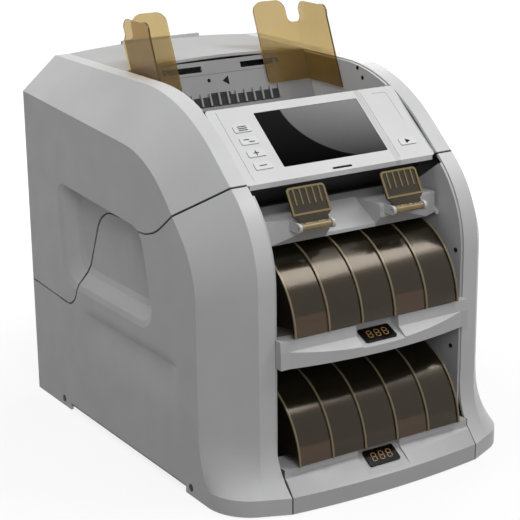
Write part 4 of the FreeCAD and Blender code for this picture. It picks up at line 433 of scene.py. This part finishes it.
def circuit_board(name):
    """Green board with a faint pattern of tracks."""
    shader = Shader(name).set(Roughness=0.35, Coat_Weight=0.3)
    tracks = shader.noise(scale=260.0, detail=0.0, stretch=(1.0, 3.0, 0.4))
    shader.colour(shader.mix(shader.math("GREATER_THAN", tracks, 0.56), BOARD_GREEN, TRACK_GREEN))
    return shader.bump(tracks, strength=0.2, distance=0.0001).material


def glow(name, colour, strength):
    """Lit segment of a number display."""
    shader = Shader(name).set(Emission_Strength=strength, Roughness=0.4)
    base = shader.mottled(shader.noise(scale=700.0), colour, 0.9, 1.0)
    return shader.colour(base).feed("Emission Color", base).material


housing = moulded("housing_plastic", HOUSING, 0.42, shell=True)
roof_plastic = moulded("roof_plastic", scaled(HOUSING, 0.95), 0.6, gloss=0.0)
panel_plastic = moulded("panel_plastic", PANEL_GREY, 0.38, grain=0.06, coat=0.1, joints_and_shade_bands=PANEL_GROOVE_SHADE)
trim = moulded("tray_plastic", (0.49, 0.49, 0.493), 0.4)
base_plastic = moulded("base_plastic", (0.47, 0.47, 0.473), 0.4, joints_and_shade_bands=BASE_JOINTS)
frame_plastic = moulded("side_frame_paint", (0.46, 0.46, 0.465), 0.5)
# The side frames' paint, painted lighter on the hopper walls and rims as painted light
lit_frame_plastic = moulded("frame_paint_lightened", (0.6, 0.6, 0.605), 0.45)
# Dark inner plastic; it also makes the sheet of painted shade under the hopper comb
inner_black_and_shade = moulded("inner_plastic_and_shade", (0.03, 0.03, 0.032), 0.5, mottle=0.12, gloss=0.15)
hopper_plastic = moulded("hopper_plastic", (0.26, 0.26, 0.265), 0.42, mottle=0.05)
throat_plastic = moulded("throat_plastic", (0.05, 0.05, 0.053), 0.5, mottle=0.1, gloss=0.15)
wheel_plastic = moulded("stacker_wheel_plastic", (0.16, 0.16, 0.17), 0.4, mottle=0.08)
button_plastic = moulded("button_plastic", scaled(PANEL_GREY, 1.06), 0.34, grain=0.03, coat=0.15)
display_plastic = moulded("display_window", (0.006, 0.0055, 0.005), 0.2, grain=0.0, gloss=0.15)
ink_and_hole_shade = moulded("marking_ink_and_hole_shade", (0.012, 0.012, 0.014), 0.5, grain=0.05, gloss=0.05)
# Painted shade of the hopper plate's crease
crease_shade = moulded("crease_shade", (0.17, 0.17, 0.175), 0.5, grain=0.05, gloss=0.1)
steel = metal("drawn_steel", (0.55, 0.55, 0.56), 0.34, stretch=(0.1, 1.0, 1.0))
black_screw = moulded("blackened_screw", (0.012, 0.012, 0.013), 0.45, gloss=0.15)
roller_rubber = rubber("roller_rubber", (0.035, 0.035, 0.037))
board = circuit_board("circuit_board")
segment = glow("display_segment", (0.30, 0.17, 0.05), strength=0.22)
guide_amber = amber("guide_amber", AMBER)
flap_amber = stopper_amber("stopper_amber")
screen = screen_glass("screen_glass")


# Looks of the model's own nodes, by slot or by name

SLOT_LOOKS = {"housing_grey": housing, "panel_silver": panel_plastic, "screen_glass": screen,
              "trim_grey": trim, "inner_black": inner_black_and_shade, "amber_clear": guide_amber,
              "button_grey": button_plastic, "frame_steel": frame_plastic, "bare_steel": steel,
              "roller_rubber": roller_rubber, "wheel_grey": wheel_plastic, "board_green": board,
              "display_black": display_plastic}
NODE_LOOKS = {"hopper_back_plate": hopper_plastic, "hopper_floor": throat_plastic,
              "housing_screws": black_screw, "rear_top_cover": roof_plastic, "front_base": base_plastic,
              "left_upper_frame": lit_frame_plastic, "right_upper_frame": lit_frame_plastic,
              "left_stopper": flap_amber, "right_stopper": flap_amber}
ROUND_EDGES = {"left_lower_housing": 0.0012, "right_lower_housing": 0.0012, "left_upper_housing": 0.0012,
               "right_upper_housing": 0.0012, "control_panel": 0.0006, "upper_stacker_tray": 0.0008,
               "front_base": 0.001, "reject_tray": 0.0008, "rear_top_cover": 0.0008, "rear_panel": 0.0006,
               "left_note_guide": 0.0004, "right_note_guide": 0.0004, "left_stopper": 0.0003,
               "right_stopper": 0.0003, "upper_pocket_cover": 0.0003, "lower_pocket_cover": 0.0003}
ROUND_STEPS = 2
ROUND_ANGLE = math.radians(40)


def round_edges(item, width):
    edge = item.modifiers.new("rounded_edges", "BEVEL")
    edge.width = width
    edge.segments = ROUND_STEPS
    edge.limit_method = "ANGLE"
    edge.angle_limit = ROUND_ANGLE
    edge.use_clamp_overlap = True


def dress_nodes():
    for node, axis in COVER_AXES.items():
        NODE_LOOKS[node] = cover_amber(node + "_amber", axis)
    for row in frame["record"]["subparts"]:
        name = row["node"]
        dress(nodes[name], NODE_LOOKS.get(name, SLOT_LOOKS[row["material_slot"]]))
    for name, width in ROUND_EDGES.items():
        round_edges(nodes[name], width)


# Lower housings with a soft lip under the grip recess

DEPTH_AXIS = 1
HEIGHT_AXIS = 2
SIDE_REACH = cad_box[1][0]
SHELL_WALL = 0.003
LIP_CREASE = 0.127
LIP_HEIGHT = 0.012
LIP_TOP = LIP_CREASE + LIP_HEIGHT
LIP_SINK = 0.0042
LIP_FADE = 0.052
LIP_FOOT = LIP_CREASE - LIP_FADE
LIP_REAR = (0.104, 0.060)
LIP_FRONT = (-0.110, -0.082)
LIP_AREA = ((LIP_FRONT[0], LIP_REAR[0]), (LIP_FOOT, LIP_TOP))
LIP_TOLERANCE = 0.00002
CUT_TOLERANCE = 1e-7
CREASE_STEP = 0.0004
FRONT_CUTS = steps_between(*LIP_FRONT, 8)
REAR_CUTS = steps_between(*LIP_REAR, 10)
RISE_CUTS = steps_between(LIP_CREASE, LIP_TOP, 10)
FADE_CUTS = [LIP_CREASE - CREASE_STEP] + steps_between(LIP_FOOT, LIP_CREASE, 12)


def lip_sink(depth, height):
    """How far a point of the side is sunk: most in the crease, less above, below and at its ends."""
    ends = eased(depth, *LIP_REAR) * eased(depth, *LIP_FRONT)
    above = max(0.0, (LIP_TOP - height) / LIP_HEIGHT) ** 2
    below = 1.0 - eased(height, LIP_CREASE, LIP_FOOT)
    return LIP_SINK * ends * (above if height > LIP_CREASE else below)


def reaches_lip(points):
    """Whether the points of a face reach into the lip's area."""
    for axis, (start, end) in zip((DEPTH_AXIS, HEIGHT_AXIS), LIP_AREA):
        places = [point[axis] for point in points]
        if min(places) >= end - LIP_TOLERANCE or max(places) <= start + LIP_TOLERANCE:
            return False
    return True


def lip_faces(shape, plane):
    """Faces that lie in a plane across X and reach into the lip's area."""
    found = []
    for face in shape.faces:
        points = [vert.co for vert in face.verts]
        flat = all(abs(point.x - plane) < LIP_TOLERANCE for point in points)
        if flat and reaches_lip(points):
            found.append(face)
    return found


def cut_lip(shape, plane, axis, places):
    """Cut the lip's faces at places along one axis."""
    normal = Vector((0.0, 0.0, 0.0))
    normal[axis] = 1.0
    for place in places:
        faces = lip_faces(shape, plane)
        parts = dict.fromkeys(part for face in faces for part in (face, *face.edges, *face.verts))
        bmesh.ops.bisect_plane(shape, geom=list(parts), dist=CUT_TOLERANCE,
                               plane_co=normal * place, plane_no=normal)


def sink_lip(shape, plane, sunk):
    """Cut one face of the side finely where the lip is, and sink it there."""
    for axis, limits in zip((DEPTH_AXIS, HEIGHT_AXIS), LIP_AREA):
        cut_lip(shape, plane, axis, limits)
    bmesh.ops.dissolve_faces(shape, faces=lip_faces(shape, plane))
    cut_lip(shape, plane, DEPTH_AXIS, FRONT_CUTS + REAR_CUTS)
    cut_lip(shape, plane, HEIGHT_AXIS, RISE_CUTS + FADE_CUTS)
    faces = lip_faces(shape, plane)
    for face in faces:
        face.smooth = True
    for vert in dict.fromkeys(vert for face in faces for vert in face.verts):
        sink = lip_sink(vert.co.y, vert.co.z)
        if sink > 0.0:
            vert.co.x -= math.copysign(sink, plane)
            vert[sunk] = 1


def lipped_normals(mesh):
    """Fresh normals where the wall is sunk; elsewhere those that the mesh came with."""
    moved = mesh.attributes["sunk"].data
    normals = []
    for loop, corner in zip(mesh.loops, mesh.attributes["kept_normal"].data):
        index = loop.vertex_index
        normal = mesh.vertices[index].normal if moved[index].value else corner.vector
        normals.append(normal.copy())
    return normals


def lipped_mesh(source, side):
    """Copy of a lower housing's mesh with the lip in its wall; elsewhere it keeps its shape and shading."""
    mesh = source.copy()
    kept = mesh.attributes.new("kept_normal", "FLOAT_VECTOR", "CORNER")
    kept.data.foreach_set("vector", [part for corner in mesh.corner_normals for part in corner.vector])
    shape = bmesh.new()
    shape.from_mesh(mesh)
    sunk = shape.verts.layers.int.new("sunk")
    for reach in (SIDE_REACH, SIDE_REACH - SHELL_WALL):
        sink_lip(shape, side * reach, sunk)
    shape.to_mesh(mesh)
    shape.free()
    normals = lipped_normals(mesh)
    for name in ("sunk", "kept_normal"):
        mesh.attributes.remove(mesh.attributes[name])
    mesh.normals_split_custom_set(normals)
    return mesh


def build_lower_shells():
    """Each shell stands for its lower housing, which has no lip."""
    for label, side in SIDES:
        node = label + "_lower_housing"
        shell = add_object(label + "_lower_shell", lipped_mesh(nodes[node].data, side))
        round_edges(shell, ROUND_EDGES[node])
        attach(shell, "lower_unit")
        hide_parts(node)


# Outlines for small pieces, and how a piece is set in place

CORNERS = ((1, 1), (-1, 1), (-1, -1), (1, -1))
BAR_ROUNDING = 0.3


def outline_mesh(name, outlines, depth):
    """Flat shapes with a thickness, drawn in X and Y; each outline is a closed list of points."""
    shape = bmesh.new()
    for outline in outlines:
        face = shape.faces.new([shape.verts.new((u, v, 0.0)) for u, v in outline])
        face.normal_update()
        if face.normal.z < 0:
            face.normal_flip()
        result = bmesh.ops.extrude_face_region(shape, geom=[face])
        raised = [item for item in result["geom"] if isinstance(item, bmesh.types.BMVert)]
        bmesh.ops.translate(shape, verts=raised, vec=(0.0, 0.0, depth))
    bmesh.ops.recalc_face_normals(shape, faces=shape.faces)
    mesh = bpy.data.meshes.new(name)
    shape.to_mesh(mesh)
    shape.free()
    return add_object(name, mesh)


def rounded_rectangle(u, v, width, height, radius, steps=5):
    """Points of a rectangle with round corners."""
    points = []
    for turn, (su, sv) in enumerate(CORNERS):
        for step in range(steps + 1):
            angle = math.radians(90 * (turn + step / steps))
            points.append((u + su * (width / 2 - radius) + radius * math.cos(angle),
                           v + sv * (height / 2 - radius) + radius * math.sin(angle)))
    return points


def bar(u, v, width, height):
    return rounded_rectangle(u, v, width, height, min(width, height) * BAR_ROUNDING, steps=2)


def disc(u, v, radius, steps=20):
    turns = [math.radians(360 * step / steps) for step in range(steps)]
    return [(u + radius * math.cos(turn), v + radius * math.sin(turn)) for turn in turns]


def set_piece(item, place, body, look):
    """Put a new piece in place, on its body, with its material."""
    item.data.transform(place)
    dress(item, look)
    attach(item, body)


# Number displays: the foot and slope of each window, and the numerals on it

DISPLAYS = {"upper": (Vector((0.0, -0.2035, 0.152)), math.radians(22.0)),
            "lower": (Vector((0.0, -0.212, 0.0245)), math.radians(30.0))}
WINDOW_THICKNESS = 0.002
DIGIT_PLACES = (-1, 0, 1)
DIGIT_PITCH = 0.0092
DIGIT_MIDDLE = 0.0095
DIGIT_WIDTH = 0.005
DIGIT_HEIGHT = 0.0092
DIGIT_STROKE = 0.0008
DIGIT_GAP = DIGIT_STROKE * 1.2
DIGIT_LEAN = 0.12
DIGIT_THICKNESS = 0.00015
FLAT_BARS = ((0.0, 1.0), (0.0, 0.0), (0.0, -1.0))
FLAT_SIZE = (DIGIT_WIDTH - DIGIT_GAP, DIGIT_STROKE)
UPRIGHT_BARS = ((-1.0, 0.5), (1.0, 0.5), (-1.0, -0.5), (1.0, -0.5))
UPRIGHT_SIZE = (DIGIT_STROKE, DIGIT_HEIGHT / 2 - DIGIT_GAP)


def digit_outlines(u, v):
    """Seven bars of one numeral, leaning slightly as display numerals do."""
    outlines = []
    for places, size in ((FLAT_BARS, FLAT_SIZE), (UPRIGHT_BARS, UPRIGHT_SIZE)):
        for across, along in places:
            centre = (u + across * DIGIT_WIDTH / 2, v + along * DIGIT_HEIGHT / 2)
            outlines.append([(x + DIGIT_LEAN * (y - v), y) for x, y in bar(*centre, *size)])
    return outlines


def build_displays():
    """Lit numerals just above the window of each count display."""
    for label, (foot, angle) in DISPLAYS.items():
        outlines = []
        for place in DIGIT_PLACES:
            outlines += digit_outlines(place * DIGIT_PITCH, DIGIT_MIDDLE)
        digits = outline_mesh(label + "_display_digits", outlines, DIGIT_THICKNESS)
        face = lifted(tilted(foot, angle), WINDOW_THICKNESS)
        set_piece(digits, face, "lower_unit", segment)


# A generic sign on each button, at its place on the panel

BUTTON_X = -0.0838
BUTTON_PROUD = 0.0008
SIGN_WIDTH = 0.0105
SIGN_STROKE = 0.0011
SIGN_THICKNESS = 0.00006
LIST_PITCH = 0.0023
SWITCH_OFF = (0.0025, 0.0015)
START_LEFT = 0.0024
START_RIGHT = 0.0034
START_HALF = 0.0029


def list_sign(u, v):
    return [bar(u, v + step * LIST_PITCH, SIGN_WIDTH, SIGN_STROKE) for step in (-1, 0, 1)]


def switch_sign(u, v):
    across, along = SWITCH_OFF
    return [bar(u + side * across, v - side * along, SIGN_WIDTH * 0.6, SIGN_STROKE) for side in (-1, 1)]


def plus_sign(u, v):
    arm = SIGN_WIDTH * 0.25
    off = arm / 2 + SIGN_STROKE / 2
    arms = [bar(u, v + side * off, SIGN_STROKE, arm) for side in (1, -1)]
    return [bar(u, v, SIGN_WIDTH * 0.6, SIGN_STROKE)] + arms


def minus_sign(u, v):
    return [bar(u, v, SIGN_WIDTH * 0.8, SIGN_STROKE)]


def start_sign(u, v):
    return [[(u - START_LEFT, v - START_HALF), (u + START_RIGHT, v), (u - START_LEFT, v + START_HALF)]]


BUTTON_SIGNS = {"menu_button_1": (list_sign, BUTTON_X, 0.0677),
                "menu_button_2": (switch_sign, BUTTON_X, 0.052),
                "menu_button_3": (plus_sign, BUTTON_X, 0.0363),
                "menu_button_4": (minus_sign, BUTTON_X, 0.0206),
                "start_button": (start_sign, 0.0903, 0.0218)}


def build_button_marks():
    for name, (sign, u, v) in BUTTON_SIGNS.items():
        marks = outline_mesh(name + "_mark", sign(u, v), SIGN_THICKNESS)
        set_piece(marks, lifted(PANEL, BUTTON_PROUD), name + "_body", ink_and_hole_shade)


# Marks on the hopper's back plate, and the panel's sensor window

LOADING_DISC = (-0.0185, 0.0118, 0.0021)
LOADING_ARROW = [(-0.002, 0.0098), (0.0058, 0.0048), (0.0058, 0.0148)]
PLATE_CREASE = (0.0, 0.0185, 0.132, 0.0006)
# The first is a sheet of painted shade under the comb ribs, the second a dark sensor block
COMB_SHADE_AND_SENSOR = ((0.0, -0.0115, 0.134, 0.011), (-0.0085, -0.0045, 0.027, 0.0045))
MARK_THICKNESS = 0.0001
COMB_THICKNESS = 0.0002
SENSOR_WINDOW = (0.0, 0.004, 0.0234, 0.0026, 0.00127)
SENSOR_THICKNESS = 0.001
SENSOR_FLOOR = -0.0013


def build_hopper_marks():
    """Loading sign, a crease of faint painted shade, and a dark sheet of painted shade under the comb with a
    dark sensor block, on the hopper's back plate.
    """
    sign = outline_mesh("loading_sign", [disc(*LOADING_DISC), LOADING_ARROW], MARK_THICKNESS)
    set_piece(sign, PLATE, "upper_unit", ink_and_hole_shade)
    # Painted shade: a faint darker line stands for the shade in the plate's crease
    crease = outline_mesh("plate_crease", [bar(*PLATE_CREASE)], MARK_THICKNESS)
    set_piece(crease, PLATE, "upper_unit", crease_shade)
    shade_and_sensor = outline_mesh("comb_shade_and_sensor", [bar(*window) for window in COMB_SHADE_AND_SENSOR], COMB_THICKNESS)
    set_piece(shade_and_sensor, PLATE, "upper_unit", inner_black_and_shade)


def build_sensor_window():
    """Dark window in the panel's sensor slot."""
    window = outline_mesh("sensor_window", [rounded_rectangle(*SENSOR_WINDOW)], SENSOR_THICKNESS)
    set_piece(window, lifted(PANEL, SENSOR_FLOOR), "upper_unit", ink_and_hole_shade)


# Pieces on the frames beside the bay

FRAME_FACE = 0.111
FRAME_SHEET = 0.0025
FRAME_SCREWS = ((-0.178, 0.218), (-0.174, 0.114))
SCREW_RADIUS = 0.0024
SCREW_HEAD = 0.0006
CROSS_LENGTH = 0.0028
CROSS_WIDTH = 0.0007
CROSS_THICKNESS = 0.00005
# Sensor holes, drawn as dark discs: their insides' shade is painted
HOPPER_HOLES = ((-0.008, 0.3785), (-0.017, 0.369))
HOLE_RADIUS = 0.0024
HOLE_THICKNESS = 0.00006
CROWN_START = 0.0185
CROWN_CENTRE = 0.1845
CROWN_REACH = 0.1985
CROWN_STEPS = 16
RIM_FOOT = 0.381
RIM_REAR = 0.0945
RIM_FRONT = -0.058
RIM_FRONT_FOOT = 0.3654
SIDEWAYS = Matrix(((0, 0, 1, 0), (1, 0, 0, 0), (0, 1, 0, 0), (0, 0, 0, 1)))


def on_frame(side, depth, height):
    """Place on a frame's inner face, Z out of it."""
    turn = Matrix.Rotation(math.radians(-90 * side), 4, "Y")
    return Matrix.Translation((side * FRAME_FACE, depth, height)) @ turn


def crown_height(depth):
    """Height of the housing's crown in front of where its arc starts."""
    return CROWN_CENTRE + math.sqrt(CROWN_REACH ** 2 - (depth - CROWN_START) ** 2)


def rim_outline():
    """Outline of a hopper rim, from its rear foot over the crown to its front foot."""
    outline = [(RIM_REAR, RIM_FOOT), (RIM_REAR, CROWN_CENTRE + CROWN_REACH)]
    outline += [(depth, crown_height(depth)) for depth in steps_between(CROWN_START, RIM_FRONT, CROWN_STEPS)]
    return outline + [(RIM_FRONT, RIM_FRONT_FOOT), (CROWN_START, RIM_FOOT)]


def build_hopper_rims():
    """Rim of each hopper wall, up to the crown of the housing, in the walls' lightened paint, and the sensor
    holes in the wall as dark discs of painted shade.
    """
    for label, side in SIDES:
        start = min(side * FRAME_FACE, side * (FRAME_FACE + FRAME_SHEET))
        place = Matrix.Translation((start, 0, 0)) @ SIDEWAYS
        rim = outline_mesh(label + "_hopper_rim", [rim_outline()], FRAME_SHEET)
        set_piece(rim, place, "upper_unit", lit_frame_plastic)
        for number, (depth, height) in enumerate(HOPPER_HOLES, start=1):
            name = f"{label}_hopper_hole_{number}"
            hole = outline_mesh(name, [disc(0.0, 0.0, HOLE_RADIUS)], HOLE_THICKNESS)
            set_piece(hole, on_frame(side, depth, height), "upper_unit", ink_and_hole_shade)


def build_frame_screws():
    """Blackened screw heads in the side frames, each with a cross recess."""
    cross = [bar(0.0, 0.0, CROSS_LENGTH, CROSS_WIDTH), bar(0.0, 0.0, CROSS_WIDTH, CROSS_LENGTH)]
    for label, side in SIDES:
        for number, (depth, height) in enumerate(FRAME_SCREWS, start=1):
            place = on_frame(side, depth, height)
            head = outline_mesh(f"{label}_frame_screw_{number}", [disc(0.0, 0.0, SCREW_RADIUS)], SCREW_HEAD)
            set_piece(head, place, "lower_unit", black_screw)
            recess = outline_mesh(f"{label}_frame_screw_recess_{number}", cross, CROSS_THICKNESS)
            set_piece(recess, lifted(place, SCREW_HEAD), "lower_unit", inner_black_and_shade)


# Studio

CAMERA_PLACE = (-0.87785, -1.35708, 0.68378)
CAMERA_FORWARD = Vector((0.5145, 0.8045, -0.2967))
CAMERA_RIGHT = Vector((0.8406, -0.5416, -0.0108))
CAMERA_UP = Vector((0.1694, 0.2439, 0.9549))
CAMERA_LENS = 109.44
CAMERA_SENSOR = 36.0

# Lamps: place, size and power
LAMPS = {"key_light": ((1.12, -0.78, 2.0), (0.9, 0.65), 16.0),
         "top_light": ((0.25, -0.2, 2.3), (1.6, 1.6), 12.0),
         "left_top_light": ((-0.8, 0.3, 2.3), (0.9, 0.9), 10.0),
         "left_front_light": ((-0.9, -2.1, 1.4), (1.2, 1.2), 23.0),
         "rear_light": ((-0.4, 1.6, 1.7), (1.0, 1.0), 6.0),
         "right_rear_light": ((1.7, 1.5, 1.1), (1.0, 1.0), 12.0)}
LAMP_TARGET = Vector((0.0, 0.0, 0.2))
SURROUND = 0.08
WHITE = (1.0, 1.0, 1.0, 1.0)
FLOOR_REACH = 6.0
FLOOR_GREY = (0.16, 0.16, 0.16, 1.0)

# The floor's own light under the object and in the open, and the squared distances of both
FLOOR_GLOW = (0.84, 1.0)
FLOOR_SPAN = (0.08, 0.8)


def build_camera():
    camera = bpy.data.cameras.new("camera")
    camera.sensor_width = CAMERA_SENSOR
    camera.lens = CAMERA_LENS
    item = add_object("camera", camera)
    turn = Matrix((CAMERA_RIGHT, CAMERA_UP, -CAMERA_FORWARD)).transposed().to_4x4()
    item.matrix_world = Matrix.Translation(CAMERA_PLACE) @ turn
    scene.camera = item


def build_lamps():
    """Soft studio light, strongest from above."""
    for name, (place, size, power) in LAMPS.items():
        light = bpy.data.lights.new(name, "AREA")
        light.shape = "RECTANGLE"
        light.size, light.size_y = size
        light.energy = power
        aim = (LAMP_TARGET - Vector(place)).to_track_quat("-Z", "Y")
        add_object(name, light).matrix_world = Matrix.Translation(place) @ aim.to_matrix().to_4x4()


def seen_directly(tree):
    """Socket that is 1 for what the camera sees, straight or by gloss or through glass."""
    path = tree.nodes.new("ShaderNodeLightPath")
    seen = path.outputs["Is Camera Ray"]
    for output in ("Is Glossy Ray", "Is Transmission Ray"):
        either = tree.nodes.new("ShaderNodeMath")
        either.operation = "MAXIMUM"
        tree.links.new(seen, either.inputs[0])
        tree.links.new(path.outputs[output], either.inputs[1])
        seen = either.outputs["Value"]
    return seen


def build_surround():
    """White to the camera, and a pale even light for the rest."""
    world = bpy.data.worlds.new("surround")
    scene.world = world
    world.use_nodes = True
    tree = world.node_tree
    background = tree.nodes["Background"]
    background.inputs["Color"].default_value = WHITE
    level = tree.nodes.new("ShaderNodeMapRange")
    level.inputs["To Min"].default_value = SURROUND
    level.inputs["To Max"].default_value = 1.0
    tree.links.new(seen_directly(tree), level.inputs["Value"])
    tree.links.new(level.outputs["Result"], background.inputs["Strength"])


def floor_paint():
    """Pale paint: white in the open, a little darker around the object."""
    shader = Shader("floor_paint").set(Roughness=0.9, Specular_IOR_Level=0.0, Base_Color=FLOOR_GREY,
                                       Emission_Color=WHITE)
    across, depth, _ = shader.split()
    open_floor = shader.spread(shader.ellipse(across, depth, (0.0, 0.0)), *FLOOR_GLOW, *FLOOR_SPAN)
    level = shader.math("MULTIPLY", seen_directly(shader.tree), open_floor)
    return shader.feed("Emission Strength", level).material


def build_floor():
    """Plain pale floor, with the object's shadow on it."""
    mesh = bpy.data.meshes.new("floor")
    corners = [(-1, -1), (1, -1), (1, 1), (-1, 1)]
    mesh.from_pydata([(u * FLOOR_REACH, v * FLOOR_REACH, 0) for u, v in corners], [], [(0, 1, 2, 3)])
    floor = add_object("floor", mesh)
    dress(floor, floor_paint())


dress_nodes()
build_camera()
build_lamps()
build_surround()
build_floor()
build_lower_shells()
build_displays()
build_button_marks()
build_hopper_marks()
build_sensor_window()
build_hopper_rims()
build_frame_screws()
scene.view_settings.view_transform = "Standard"
